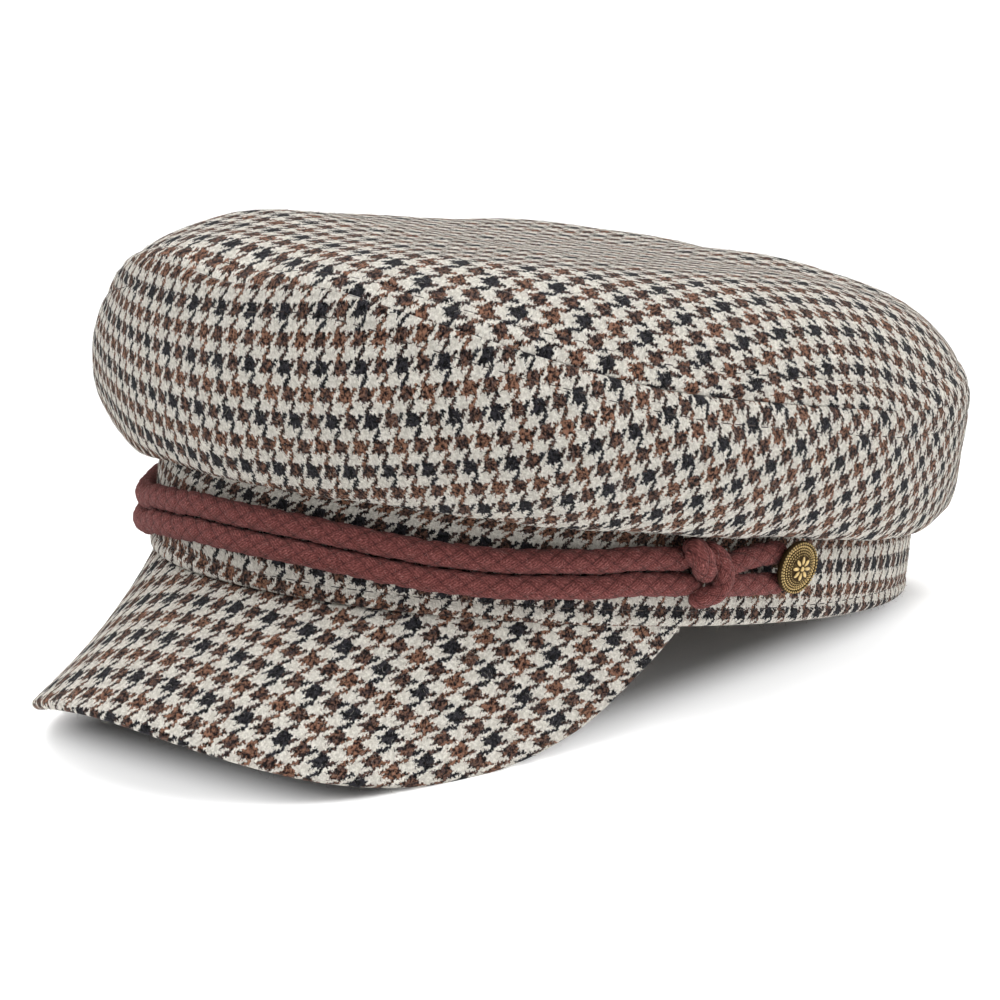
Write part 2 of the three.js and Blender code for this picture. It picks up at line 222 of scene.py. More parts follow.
# %% Table and light
scene.view_settings.view_transform = "Standard"
SOFTBOXES = [
    {"name": "left", "azimuth": -46, "elevation": 32, "width": 60, "strength": 1.6},
    {"name": "right", "azimuth": 124, "elevation": 32, "width": 60, "strength": 1.75},
    {"name": "front_right", "azimuth": 80, "elevation": 14, "width": 70, "strength": 0.68},
    {"name": "overhead", "azimuth": 10, "elevation": 80, "width": 50, "strength": 2.2},
    {"name": "behind", "azimuth": 215, "elevation": 38, "width": 50, "strength": 1.0},
]
ROOM_LIGHT = 0.03
PAPER = {
    "white": 0.86, "glow": 0.62, "across": 0.038, "along": 0.0985, "centre": (0.005, -0.0035),
    "edge": 0.024, "fades_from": 0.06, "fades_to": 0.16,
}

for box in SOFTBOXES:
    data = bpy.data.lights.new("softbox_" + box["name"], "SUN")
    data.energy = box["strength"]
    data.angle = math.radians(box["width"])
    a, e = math.radians(box["azimuth"]), math.radians(box["elevation"])
    towards = Vector((math.sin(a) * math.cos(e), -math.cos(a) * math.cos(e), math.sin(e)))
    lamp = bpy.data.objects.new(data.name, data)
    lamp.matrix_world = (-towards).to_track_quat("-Z", "Y").to_matrix().to_4x4()
    scene.collection.objects.link(lamp)

world = bpy.data.worlds.new("studio")
scene.world = world
world.use_nodes = True
world.node_tree.nodes["Background"].inputs["Color"].default_value = (1, 1, 1, 1)
world.node_tree.nodes["Background"].inputs["Strength"].default_value = ROOM_LIGHT


def white_paper():
    w = Nodes("paper", roughness=0.9)
    w.shader.inputs["Base Color"].default_value = (*[PAPER["white"]] * 3, 1)
    w.shader.inputs["Emission Color"].default_value = (1, 1, 1, 1)
    x, y = w.split(w.add("ShaderNodeTexCoord").outputs["Object"])

    def outside(value, half):
        past = w.math("MAXIMUM", w.math("SUBTRACT", w.math("ABSOLUTE", value), half), 0.0)
        return w.math("POWER", past, 2.0)

    x = w.math("SUBTRACT", x, PAPER["centre"][0])
    y = w.math("SUBTRACT", y, PAPER["centre"][1])
    away = w.math("SQRT", w.math("ADD", outside(x, PAPER["across"]), outside(y, PAPER["along"])))
    edge = w.add("ShaderNodeMapRange", interpolation_type="SMOOTHSTEP")
    w.link(away, edge.inputs["Value"])
    edge.inputs["From Max"].default_value = PAPER["edge"]
    edge.inputs["To Max"].default_value = PAPER["glow"]
    near = w.around(away, 1.0, 0.0, PAPER["fades_from"], PAPER["fades_to"])
    w.link(w.math("MULTIPLY", edge.outputs["Result"], near), w.shader.inputs["Emission Strength"])
    return w.material


table_mesh = bpy.data.meshes.new("table")
table_shape = bmesh.new()
bmesh.ops.create_grid(table_shape, x_segments=2, y_segments=2, size=6)
table_shape.to_mesh(table_mesh)
table_shape.free()
table_mesh.materials.append(white_paper())
table = bpy.data.objects.new("table", table_mesh)
scene.collection.objects.link(table)

# %% [markdown]
# ## The check
#
# Gun-club check is a houndstooth with two dark colours. The warp and the weft both run four
# cream threads, four black, four cream, four brown, and they cross in a 2/2 twill: each
# thread passes over two and under two, one step further on each row. That twill is what
# turns plain squares into pointed stars. An image would blur close up, so the weave is
# worked out thread by thread. The UV map counts threads: one unit is one thread.
#
# The wool is not tidy. Noise pushes the threads' edges about, every float has a tone of its
# own between two limits, and hairs of the other colours cross every star. The bump raises
# the thread tops over the gaps between them, and the colour carries painted shade in the
# gaps and painted light on the tops.

# %% The wool material
CREAM = ((0.60, 0.565, 0.50), (0.80, 0.77, 0.70))
BLACK = ((0.001, 0.001, 0.002), (0.030, 0.029, 0.036))
BROWN = ((0.008, 0.004, 0.004), (0.300, 0.145, 0.090))
THREADS = 8
RAGGED = {"fibres": 0.85, "threads": 0.30, "along": 0.4, "across": 1.25}
DARK_SHARE = 0.55
FLOAT_ROUND = 0.62
TONE = {"each_float": 0.40, "fuzz_low": -0.75, "fuzz_high": 1.20}
STRAY_HAIRS = {"pale_in_dark": 0.34, "dark_in_pale": 0.24, "other_dark": 0.55}
THREAD_LIGHT = {"gap": 0.76, "top": 0.30}
WOOL_BUMP = {"height": 0.26, "strength": 0.9}


def gun_club_wool():
    w = Nodes("wool_check", roughness=0.95, sheen=0.07, shine=0.04)
    thread = w.uv("threads")
    across, up = w.split(thread)
    elsewhere = w.add("ShaderNodeVectorMath", operation="ADD")
    w.link(thread, elsewhere.inputs[0])
    elsewhere.inputs[1].default_value = (37.3, 11.9, 5.1)
    elsewhere = elsewhere.outputs[0]

    def ragged(along, over, seed, where):
        """Fibres that run on past a float's end, long along the thread and thin across it."""
        long = w.math("MULTIPLY", along, RAGGED["along"])
        thin = w.math("MULTIPLY", over, RAGGED["across"])
        fibre = w.noise(w.join(long, thin, seed), 1.0, 3.0, 0.75)
        fibres = w.around(fibre, -RAGGED["fibres"], RAGGED["fibres"], 0.25, 0.75)
        wobble = w.noise(where, 0.9, 4.0, 0.8)
        threads = w.around(wobble, -RAGGED["threads"], RAGGED["threads"], 0.25, 0.75)
        return w.math("ADD", along, w.math("ADD", fibres, threads))

    u = ragged(across, up, 0.0, thread)
    v = ragged(up, across, 7.3, elsewhere)
    i = w.math("FLOOR", u)
    j = w.math("FLOOR", v)
    step = w.math("FLOORED_MODULO", w.math("SUBTRACT", i, j), 4.0)
    warp_up = w.math("LESS_THAN", step, 1.5)

    def shown(of_weft, of_warp):
        return w.math("MULTIPLY_ADD", warp_up, w.math("SUBTRACT", of_warp, of_weft), of_weft)

    def is_dark(count):
        place = w.math("FRACT", w.math("DIVIDE", count, THREADS))
        return w.math("GREATER_THAN", place, 1 - DARK_SHARE)

    def is_black(count):
        return w.math("LESS_THAN", w.math("FRACT", w.math("DIVIDE", count, 2 * THREADS)), 0.5)

    def float_shape(along, start, over):
        """The rounded top of one float, and the float's number along its thread."""
        side = w.math("MULTIPLY_ADD", w.math("FRACT", over), 2.0, -1.0)
        place = w.math("DIVIDE", w.math("SUBTRACT", along, start), 4.0)
        far = w.math("MULTIPLY_ADD", w.math("FRACT", place), 4.0, -2.0)
        bow = w.math("MULTIPLY", w.math("MULTIPLY", far, far), 0.5)
        drop = w.math("MULTIPLY_ADD", side, side, bow)
        return w.math("MULTIPLY_ADD", drop, -FLOAT_ROUND, 1.0), w.math("FLOOR", place)

    weft_top, weft_float = float_shape(u, w.math("ADD", j, 1.0), v)
    warp_top, warp_float = float_shape(v, w.math("SUBTRACT", i, 2.0), u)
    top = shown(weft_top, warp_top)
    own = w.add("ShaderNodeTexWhiteNoise", noise_dimensions="3D")
    w.link(w.join(shown(weft_float, i), shown(j, warp_float), warp_up), own.inputs["Vector"])
    fuzz = w.noise(thread, 0.75, 2.0, 0.7)
    patchy = w.around(fuzz, TONE["fuzz_low"], TONE["fuzz_high"], 0.33, 0.67)
    tone = w.math("MULTIPLY_ADD", own.outputs["Value"], TONE["each_float"], patchy)
    felted = w.noise(elsewhere, 0.7, 3.0, 0.7)
    hairs = shown(
        w.noise(w.join(w.math("MULTIPLY", across, 0.5), w.math("MULTIPLY", up, 2.6)), 1.4, 3.0, 0.7),
        w.noise(w.join(w.math("MULTIPLY", across, 2.6), w.math("MULTIPLY", up, 0.5)), 1.4, 3.0, 0.7),
    )

    warp_black, weft_black = is_black(u), is_black(v)
    black = shown(weft_black, warp_black)
    other = shown(warp_black, weft_black)
    strayed = w.around(felted, 0.0, STRAY_HAIRS["other_dark"])
    black = w.math("MULTIPLY_ADD", w.math("SUBTRACT", other, black), strayed, black)
    dark = shown(is_dark(v), is_dark(u))
    pale_hair = w.around(hairs, 0.0, STRAY_HAIRS["pale_in_dark"], 0.60, 0.74)
    dark = w.math("SUBTRACT", dark, w.math("MULTIPLY", dark, pale_hair))
    dark = w.math("ADD", dark, w.around(hairs, STRAY_HAIRS["dark_in_pale"], 0.0, 0.27, 0.40))
    yarn = w.mix(black, w.mix(tone, *BROWN), w.mix(tone, *BLACK))
    colour = w.mix(dark, w.mix(tone, *CREAM), yarn)

    # Painted shade and light: the colour is darkened in the gaps between threads and lightened on the float
    # tops.
    light = w.math("MULTIPLY_ADD", top, THREAD_LIGHT["top"], THREAD_LIGHT["gap"])
    light = w.math("MULTIPLY", light, w.around(w.noise(thread, 0.13, 2.0), 0.95, 1.04))
    height = w.math("ADD", top, w.math("ADD", fuzz, hairs))
    return w.finish(w.shade(colour, light), height, WOOL_BUMP["height"] * MM, WOOL_BUMP["strength"])


wool = gun_club_wool()
print("wool nodes:", len(wool.node_tree.nodes))

# %% [markdown]
# ## How the grain runs
#
# The panels are cut from one flat cloth and then sewn and steamed into curves, so the check
# turns and stretches as it goes round. For each panel a small sum gives the place in the
# check, in steps of eight threads, from the panel's own flat millimetres. It has a start, two
# slopes, three bends and four twists, in that order. Past its limits it goes over into the
# plain even cloth, so that the check stays square on the sides that the photo doesn't show.

# %% The grain of each panel
GRAIN = {
    "band": {
        "origin": (75.5, 3.5), "scale": (100, 30), "limits": ((-54, 215), (0, 24)),
        "even": {"across": (0.205, 0.0), "up": (0.0, 0.185)}, "fade": 60,
        "across": ((1.5,), (21.3, 0.6), (0.2, -0.5, 3.9), (-0.2, -0.2, 1.3, -6.4)),
        "up": ((-0.2,), (0.7, 5.9), (-0.1, 1.0, -4.3), (0.1, -0.5, -0.9, 6.3)),
    },
    "side": {
        "origin": (85, 27), "scale": (165, 27), "limits": ((-58, 210), (0, 54)),
        "even": {"across": (0.205, 0.04), "up": (-0.04, 0.175)}, "fade": 60,
        "across": ((9.5,), (31.8, 2.3), (-5.7, 1.3, -0.4), (0.8, 0, 0.8, -0.6)),
        "up": ((0.5,), (-9.4, 4.4), (-6.6, -0.3, -0.5), (2.7, 0.7, -1.0, -0.2)),
    },
    "top": {
        "origin": (8, 0), "scale": (102, 128), "limits": ((-95, 110), (-128, 128)),
        "even": {"across": (0.205, 0.02), "up": (0.02, 0.150)}, "fade": 45,
        "across": ((-11.8,), (18.2, 0.3), (-0.3, -0.6, -1.5), (1.6, -0.8, 1.6, 1.9)),
        "up": ((4.7,), (3.7, 18.4), (0.6, 0.8, 0.5), (-0.6, -0.4, -1.3, -1.3)),
    },
    "visor": {
        "origin": (0, 2), "scale": (86, 52), "limits": ((-48, 86), (-50, 54)),
        "even": {"across": (0.205, 0.02), "up": (-0.02, 0.150)}, "fade": 30,
        "across": ((-10.6,), (17.6, 1.7), (0, -0.1, -0.4), (-0.6, -0.4, 0.9, 0.4)),
        "up": ((1.3,), (-0.4, 7.4), (-1.6, 1.0, 0.6), (-0.6, -0.2, 0, 0.1)),
    },
}
DARK_CENTRE = 6


def fitted_place(grain, row, x, y, beyond):
    """One coordinate in the check from its sum, run on straight past x by beyond."""
    a = (x - grain["origin"][0]) / grain["scale"][0]
    b = (y - grain["origin"][1]) / grain["scale"][1]
    run = beyond / grain["scale"][0]
    value = 0.0
    for order, terms in enumerate(grain[row]):
        for k, term in enumerate(terms):
            p = order - k
            value += term * a ** p * b ** k
            if p and run:
                value += term * p * a ** (p - 1) * b ** k * run
    return value


def in_the_check(name, x, y):
    """Place in the check, in threads, of a point of the flat panel."""
    grain = GRAIN[name]
    (x_low, x_high), (y_low, y_high) = grain["limits"]
    x_in = min(max(x, x_low), x_high)
    y_in = min(max(y, y_low), y_high)
    beyond = x - x_in
    t = min(abs(beyond) / grain["fade"], 1)
    gone_over = t * t * (3 - 2 * t)
    half_way = math.copysign(grain["fade"] / 2, beyond)
    y_middle = (y_low + y_high) / 2
    place = []
    for row in ("across", "up"):
        x_rate, y_rate = grain["even"][row]
        value = fitted_place(grain, row, x_in, y_in, beyond) + y_rate * (y - y_in)
        if gone_over:
            anchor = fitted_place(grain, row, x_in, y_middle, half_way)
            even = anchor + x_rate * (beyond - half_way) + y_rate * (y - y_middle)
            value += (even - value) * gone_over
        place.append(THREADS * value + DARK_CENTRE)
    return place


# %% [markdown]
# ## Helpers for every sewn panel
#
# A panel starts as a flat grid, the way cloth starts flat. Its corners first take their place
# in the check as UVs, then every vertex is moved to its place on the cap, and at last it is
# pushed in or out along its normal by the panel's relief. A grid keeps the faces square, so
# the shading stays smooth, and its seam and pole are closed by merging doubles. Solidify
# gives the skin its thickness. The visor and the cord are skins that close on themselves.

# %% Panel helpers
SAME_SPOT = 0.002


def piece_from(name, shape, material):
    """A finished piece. What would go through the table is pressed flat on it."""
    for v in shape.verts:
        v.co.z = max(v.co.z, 0.0)
    mesh = bpy.data.meshes.new(name)
    for face in shape.faces:
        face.smooth = True
    shape.to_mesh(mesh)
    shape.free()
    mesh.materials.append(material)
    thing = bpy.data.objects.new(name, mesh)
    scene.collection.objects.link(thing)
    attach(thing, "root")
    return thing


def lay_out(shape, columns, rows, point, thread, layer):
    """Moves a fresh grid of 1 by 1 to its points, with each corner's UV from thread."""
    uvs = shape.loops.layers.uv.new(layer)
    index = {v: (round((v.co.x + 0.5) * columns), round((v.co.y + 0.5) * rows)) for v in shape.verts}
    places = {v: thread(*index[v]) for v in shape.verts}
    for face in shape.faces:
        for corner in face.loops:
            corner[uvs].uv = places[corner.vert]
    for v in shape.verts:
        v.co = point(*index[v])
    return index


def sewn_panel(name, columns, rows, point, thread, relief, thickness):
    """A wool panel from a grid, thick inwards. point, thread and relief take a column and a row."""
    shape = bmesh.new()
    bmesh.ops.create_grid(shape, x_segments=columns, y_segments=rows, size=0.5)
    place = lay_out(shape, columns, rows, point, thread, "threads")
    bmesh.ops.remove_doubles(shape, verts=shape.verts, dist=SAME_SPOT)
    shape.normal_update()
    push = [(v, v.normal * relief(*place[v])) for v in shape.verts]
    for v, move in push:
        v.co += move
    bmesh.ops.transform(shape, matrix=TO_TABLE, verts=shape.verts)
    thing = piece_from(name, shape, wool)
    cloth = thing.modifiers.new("cloth", "SOLIDIFY")
    cloth.thickness = thickness * MM
    cloth.offset = -1
    return thing


def closed_skin(name, columns, rows, point, thread, layer, material):
    """A closed shape from a grid whose edges meet, with any end that is left open filled."""
    shape = bmesh.new()
    bmesh.ops.create_grid(shape, x_segments=columns, y_segments=rows, size=0.5)
    lay_out(shape, columns, rows, point, thread, layer)
    bmesh.ops.remove_doubles(shape, verts=shape.verts, dist=SAME_SPOT)
    bmesh.ops.holes_fill(shape, edges=[e for e in shape.edges if e.is_boundary], sides=0)
    bmesh.ops.recalc_face_normals(shape, faces=shape.faces)
    bmesh.ops.transform(shape, matrix=TO_TABLE, verts=shape.verts)
    return piece_from(name, shape, material)


def angle_of(i, columns):
    """The angle of a column of a panel that starts and ends at the back."""
    return -180 + 360 * i / columns


# %% [markdown]
# ## The band's oval and the crown's sections
#
# Head sizes are ovals, longer than wide. All of the cap is measured out from this one. The
# crown's shape is given at nine angles from the front to the back, and a smooth curve runs
# through them. The fold over the band rises over the visor and sags at the sides, and its
# cloth is sewn on at the foot, inside and a little above the fold.

# %% Oval and crown sections
OVAL = {"side": 79.0, "front": 107.7}
FOLD = {
    "out": 6.5, "height": 22.0, "foot_height": 25.2,
    "lift": 2.5, "lift_width": 46, "sag": 2.6, "sag_at": 104, "sag_width": 24,
}
BACK_SEAM = {"depth": 0.35, "columns": 0.9}
BULGE_SHARE = 0.62
CROWN_SECTIONS = [
    {"angle": 0, "bulge_out": 15.0, "seam_out": 13.5, "seam_height": 68.5, "slack": 1.35},
    {"angle": 15, "bulge_out": 15.5, "seam_out": 14.0, "seam_height": 70.5, "slack": 1.35},
    {"angle": 30, "bulge_out": 16.5, "seam_out": 14.0, "seam_height": 66.0, "slack": 1.35},
    {"angle": 45, "bulge_out": 18.3, "seam_out": 12.0, "seam_height": 60.0, "slack": 1.30},
    {"angle": 60, "bulge_out": 16.5, "seam_out": 11.0, "seam_height": 55.0, "slack": 1.10},
    {"angle": 80, "bulge_out": 14.0, "seam_out": 11.0, "seam_height": 52.5, "slack": 1.00},
    {"angle": 105, "bulge_out": 11.5, "seam_out": 10.5, "seam_height": 50.0, "slack": 0.85},
    {"angle": 140, "bulge_out": 10.5, "seam_out": 10.0, "seam_height": 52.0, "slack": 0.90},
    {"angle": 180, "bulge_out": 13.5, "seam_out": 11.0, "seam_height": 51.0, "slack": 1.00},
]


def on_oval(angle, out=0.0, height=0.0):
    a = math.radians(angle)
    return Vector(((OVAL["side"] + out) * math.sin(a), -(OVAL["front"] + out) * math.cos(a), height))


def outward(angle):
    a = math.radians(angle)
    return Vector((OVAL["front"] * math.sin(a), -OVAL["side"] * math.cos(a), 0)).normalized()


def from_front(angle):
    """How far an angle is from the front, the same on both sides."""
    return abs((angle + 180) % 360 - 180)


def crown_value(column, angle):
    """A smooth column of the crown's sections at any angle, mirrored at front and back."""
    rows = CROWN_SECTIONS
    last = len(rows) - 1
    away = from_front(angle)
    i = next((k for k in range(last) if away <= rows[k + 1]["angle"]), last - 1)
    low, high = rows[i], rows[i + 1]
    past_front = {**rows[1], "angle": -rows[1]["angle"]}
    past_back = {**rows[last - 1], "angle": 360 - rows[last - 1]["angle"]}
    before = rows[i - 1] if i > 0 else past_front
    after = rows[i + 2] if i + 2 <= last else past_back
    span = high["angle"] - low["angle"]
    t = (away - low["angle"]) / span
    low_rate = (high[column] - before[column]) / (high["angle"] - before["angle"]) * span
    high_rate = (after[column] - low[column]) / (after["angle"] - low["angle"]) * span
    value = (2 * t ** 3 - 3 * t ** 2 + 1) * low[column] + (t ** 3 - 2 * t ** 2 + t) * low_rate
    return value + (3 * t ** 2 - 2 * t ** 3) * high[column] + (t ** 3 - t ** 2) * high_rate


def hump(x, width):
    """A smooth rise that is 1 in its middle and fades to 0 on both sides."""
    return math.exp(-(x / width) ** 2)


def fold_height(angle):
    """Height of the fold over the band's lower edge."""
    away = from_front(angle)
    lift = FOLD["lift"] * math.exp(-((away / FOLD["lift_width"]) ** 3))
    return FOLD["height"] + lift - FOLD["sag"] * hump(away - FOLD["sag_at"], FOLD["sag_width"])


def lengths_along(points):
    """Distance travelled at each point of a row of points."""
    total = [0.0]
    for a, b in zip(points, points[1:]):
        total.append(total[-1] + (b - a).length)
    return total


def around_ring(columns, ring):
    """Distance round a ring from the front, for each column of a panel that closes at the back."""
    total = lengths_along([ring(angle_of(i, columns)) for i in range(columns + 1)])
    return [x - total[columns // 2] for x in total]


def back_seam(i, columns):
    """Height of the cloth at a column of a ring that is closed by a seam at the back."""
    return -BACK_SEAM["depth"] * hump(min(i, columns - i), BACK_SEAM["columns"])


# %% [markdown]
# ## Band
#
# The band is a straight strip, folded up at its lower edge and stitched a few millimetres
# above the fold. The fold makes a soft round hem, and the stitches pull a shallow groove. Its
# top stands 1.5 mm higher than the solid's, up inside the crown, so that no gap opens there.

# %% Band
BAND = {"height": 26.5, "wall": 2.2, "hem_round": 1.1, "hem_rows": 6}
BAND_SWELL = {"rise": 0.35, "rate": 0.07, "full_from": 4}
HEM = {"height": 1.9, "rise": 0.25, "width": 1.2}
HEM_STITCH = {"height": 3.7, "depth": 0.32, "width": 0.8}


def band_profile(row, rows):
    """Distance out and height of one row, from the hem's inner side up to the top."""
    turned = BAND["hem_rows"]
    if row < turned:
        a = math.radians(-100 + 100 * row / turned)
        r = BAND["hem_round"]
        return -r + r * math.cos(a), r + r * math.sin(a)
    return 0.0, BAND["hem_round"] + (BAND["height"] - BAND["hem_round"]) * (row - turned) / (rows - turned)


def band_relief(spot):
    """Height of the band's cloth over its plain surface at a spot."""
    groove = HEM_STITCH["depth"] * hump(spot.z - HEM_STITCH["height"], HEM_STITCH["width"])
    hem = HEM["rise"] * hump(spot.z - HEM["height"], HEM["width"])
    swell = BAND_SWELL["rise"] * noise.noise(spot * BAND_SWELL["rate"])
    return hem - groove + swell * min(spot.z / BAND_SWELL["full_from"], 1)


def make_band(columns=360, rows=46):
    ring = around_ring(columns, lambda angle: on_oval(angle))

    def point(i, j):
        out, height = band_profile(j, rows)
        return on_oval(angle_of(i, columns), out, height)

    def thread(i, j):
        return in_the_check("band", ring[i], band_profile(j, rows)[1])

    def relief(i, j):
        return band_relief(point(i, j)) + back_seam(i, columns)

    return sewn_panel("band_cloth", columns, rows, point, thread, relief, BAND["wall"])


band_cloth = make_band()
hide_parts("band")
print("band faces:", len(band_cloth.data.polygons))

# %% [markdown]
# ## Side panel
#
# The side panel is sewn to the top of the band and falls out over it, so it turns up in a
# soft fold, fills to a bulge, and leans in to the top seam. It is a skin over the same
# quarter curve as the solid. Along the top seam the seam allowance lies under the cloth: it
# raises a strip on each side, and the topstitching holds it down in a shallow groove.

# %% Side panel
CLOTH = 1.8
SEAM = {"ditch": 0.32, "ditch_width": 0.8}
SEAM_STRIP = {"rise": 0.20, "from": 1.5, "width": 5.0, "edge": 0.7}
STITCH_AWAY = 6.0
STITCH_GROOVE = {"depth": 0.34, "width": 0.8}
SOFT_FROM = 8.0
SIDE_WAVES = ((0.9, 0.042), (0.35, 0.11))
FOOT_ROWS = 8
CURVE_ROWS = 26
SEAM_ROWS = 30
FIRST_OF_CURVE = 0.02
MEASURED_AT = 0.68


def side_point(angle, t):
    """The side panel's outer face: t is 0 at the fold, 1 at the bulge and 2 at the seam."""
    bulge = crown_value("bulge_out", angle)
    seam_height = crown_value("seam_height", angle)
    fold = fold_height(angle)
    bulge_height = fold + (seam_height - fold) * BULGE_SHARE
    if t <= 1:
        a = t * math.pi / 2
        out = FOLD["out"] + (bulge - FOLD["out"]) * math.sin(a) ** crown_value("slack", angle)
        return on_oval(angle, out, fold + (bulge_height - fold) * (1 - math.cos(a)))
    q = t - 1
    out = bulge + (crown_value("seam_out", angle) - bulge) * q * q
    return on_oval(angle, out, bulge_height + (seam_height - bulge_height) * q)


def side_row(angle, row):
    """Rows from the foot on the band, round the fold, and up to the turned-in seam edge."""
    if row < FOOT_ROWS:
        share = row / FOOT_ROWS
        out = FOLD["out"] * share
        fold = fold_height(angle)
        return on_oval(angle, out, fold + (FOLD["foot_height"] - fold) * (1 - share) ** 2)
    k = row - FOOT_ROWS
    if k <= CURVE_ROWS:
        return side_point(angle, max(k / CURVE_ROWS, FIRST_OF_CURVE))
    return side_point(angle, 1 + (k - CURVE_ROWS) / SEAM_ROWS)


def seam_relief(away):
    """Height of the cloth over its plain surface, at a distance from the top seam."""
    ditch = SEAM["ditch"] * hump(away, SEAM["ditch_width"])
    fall = 1 + math.exp((away - SEAM_STRIP["width"]) / SEAM_STRIP["edge"])
    strip = SEAM_STRIP["rise"] / fall * min(away / SEAM_STRIP["from"], 1)
    groove = STITCH_GROOVE["depth"] * hump(away - STITCH_AWAY, STITCH_GROOVE["width"])
    return strip - ditch - groove


def softness(spot, waves):
    """Small swells of a panel in millimetres, from pairs of a rise and a rate."""
    return sum(rise * noise.noise(spot * rate) for rise, rate in waves)


def make_side(columns=480):
    rows = FOOT_ROWS + CURVE_ROWS + SEAM_ROWS
    ring = around_ring(columns, lambda angle: side_point(angle, MEASURED_AT))
    angles = [angle_of(i, columns) for i in range(columns + 1)]
    points = [[side_row(angle, j) for j in range(rows + 1)] for angle in angles]
    climbs = [lengths_along(column) for column in points]

    def thread(i, j):
        lifted = fold_height(angles[i]) - FOLD["height"]
        return in_the_check("side", ring[i], climbs[i][j] - climbs[i][FOOT_ROWS] + lifted)

    def relief(i, j):
        away = climbs[i][rows] - climbs[i][j]
        free = min(away / SOFT_FROM, 1) * min(j / FOOT_ROWS, 1)
        return seam_relief(away) + softness(points[i][j], SIDE_WAVES) * free + back_seam(i, columns)

    return sewn_panel("side_cloth", columns, rows, lambda i, j: points[i][j], thread, relief, CLOTH)


side_cloth = make_side()
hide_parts("crown_side")
print("side faces:", len(side_cloth.data.polygons))

# %% [markdown]
# ## Top panel
#
# The top panel is an oval of cloth held up by a stiffener inside, so it is a low dome with a
# firm shoulder and a few soft swells. It is a grid wound round into a disc: its columns go
# round the cap and its rows run from the seam to the middle, where they close in a pole. The
# rows lie closer together at the seam, where the cloth is most bent.

# %% Top panel
TOP = {"height": 76.7, "front_rise": 2.5, "side_rise": 2.1, "shoulder": 7.9, "swells_end": 12}
TOP_WAVES = ((0.55, 0.038), (0.2, 0.1))
ROWS_TO_MIDDLE = 1.35
TOP_SWELLS = [
    {"x": -35, "y": -60, "radius": 22, "rise": 2.0},
    {"x": -55, "y": 55, "radius": 24, "rise": 2.4},
    {"x": -30, "y": 78, "radius": 20, "rise": 1.8},
    {"x": -5, "y": 85, "radius": 20, "rise": -1.0},
    {"x": 10, "y": 60, "radius": 22, "rise": 1.9},
    {"x": 45, "y": 60, "radius": 22, "rise": -2.4},
]


def top_point(angle, share):
    rim = on_oval(angle, crown_value("seam_out", angle), crown_value("seam_height", angle))
    x, y = rim.x * share, rim.y * share
    plain = TOP["height"] - TOP["front_rise"] * y / OVAL["front"]
    plain += TOP["side_rise"] * (x / OVAL["side"]) ** 2
    z = rim.z + (plain - rim.z) * (1 - share ** TOP["shoulder"])
    for swell in TOP_SWELLS:
        away = ((x - swell["x"]) ** 2 + (y - swell["y"]) ** 2) / swell["radius"] ** 2
        z += swell["rise"] * math.exp(-away) * (1 - share ** TOP["swells_end"])
    return Vector((x, y, z))


def make_top(columns=480, rows=96):
    shares = [1 - (j / rows) ** ROWS_TO_MIDDLE for j in range(rows + 1)]
    angles = [angle_of(i, columns) for i in range(columns + 1)]
    points = [[top_point(angle, share) for share in shares] for angle in angles]
    climbs = [lengths_along(column) for column in points]

    def thread(i, j):
        flat = climbs[i][rows] - climbs[i][j]
        way = Vector((points[i][0].x, points[i][0].y)).normalized()
        return in_the_check("top", flat * way.x, flat * way.y)

    def relief(i, j):
        away = climbs[i][j]
        return seam_relief(away) + softness(points[i][j], TOP_WAVES) * min(away / SOFT_FROM, 1)

    return sewn_panel("top_cloth", columns, rows, lambda i, j: points[i][j], thread, relief, CLOTH)


top_cloth = make_top()
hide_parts("crown_top")
print("top faces:", len(top_cloth.data.polygons))

# %% [markdown]
# ## Visor
#
# The visor is a stiff crescent bent over the brow and covered with the same cloth, pulled
# round the edge and tucked under. Each ruling is straight, as on any bent board. The grid's
# rows run from the tucked lip, round the rolled edge and back to the band, then return along
# the cloth's inner face, so the cover is one closed skin.

# %% Visor cover
VISOR = {
    "length": 51.6, "end_angle": 68.5, "spread": 0.209, "centre_slope": 28.6, "side_slope": 96.8,
    "steepest": 93.0, "width_power": 2.735, "tip_power": 1.042, "root_in": 1.2, "narrowest": 1.4,
}
COVER = {"cloth": 1.2, "thickness": 2.6, "lip": 3.0, "full_from": 12, "thinnest": 0.3}
COVER_ROWS = {"roll": 10, "under": 26, "inside": 8}
VISOR_SWELL = {"rise": 0.28, "rate_round": 0.035, "rate_out": 0.05, "full_from": 8}
LINING = {"cloth": 0.9, "gap": 0.4, "share": 0.88}
GAP = 0.3
TUCKED = 1.6
RULED = 40
NEXT_RULING = 0.01


def visor_ruling(t):
    angle = t * VISOR["end_angle"]
    turn = VISOR["spread"] * math.radians(angle)
    slope = math.radians(min(VISOR["centre_slope"] + VISOR["side_slope"] * t * t, VISOR["steepest"]))
    reach = max(1 - abs(t) ** VISOR["width_power"], 0) ** (1 / VISOR["tip_power"])
    way = Vector((math.sin(turn) * math.cos(slope), -math.cos(turn) * math.cos(slope), -math.sin(slope)))
    root = on_oval(angle, -VISOR["root_in"], -GAP)
    return root, way, max(VISOR["length"] * reach, VISOR["narrowest"])


def thinned(length):
    """The share of the cover's thickness that is left where the visor is narrow."""
    return min(max(length / COVER["full_from"], COVER["thinnest"]), 1)


def visor_normal(t, distance):
    def at(s):
        root, way, length = visor_ruling(s)
        return root + way * distance

    round_it = at(min(t + NEXT_RULING, 1)) - at(max(t - NEXT_RULING, -1))
    normal = visor_ruling(t)[1].cross(round_it).normalized()
    return -normal if normal.dot(outward(t * VISOR["end_angle"]) + Vector((0, 0, 1))) < 0 else normal


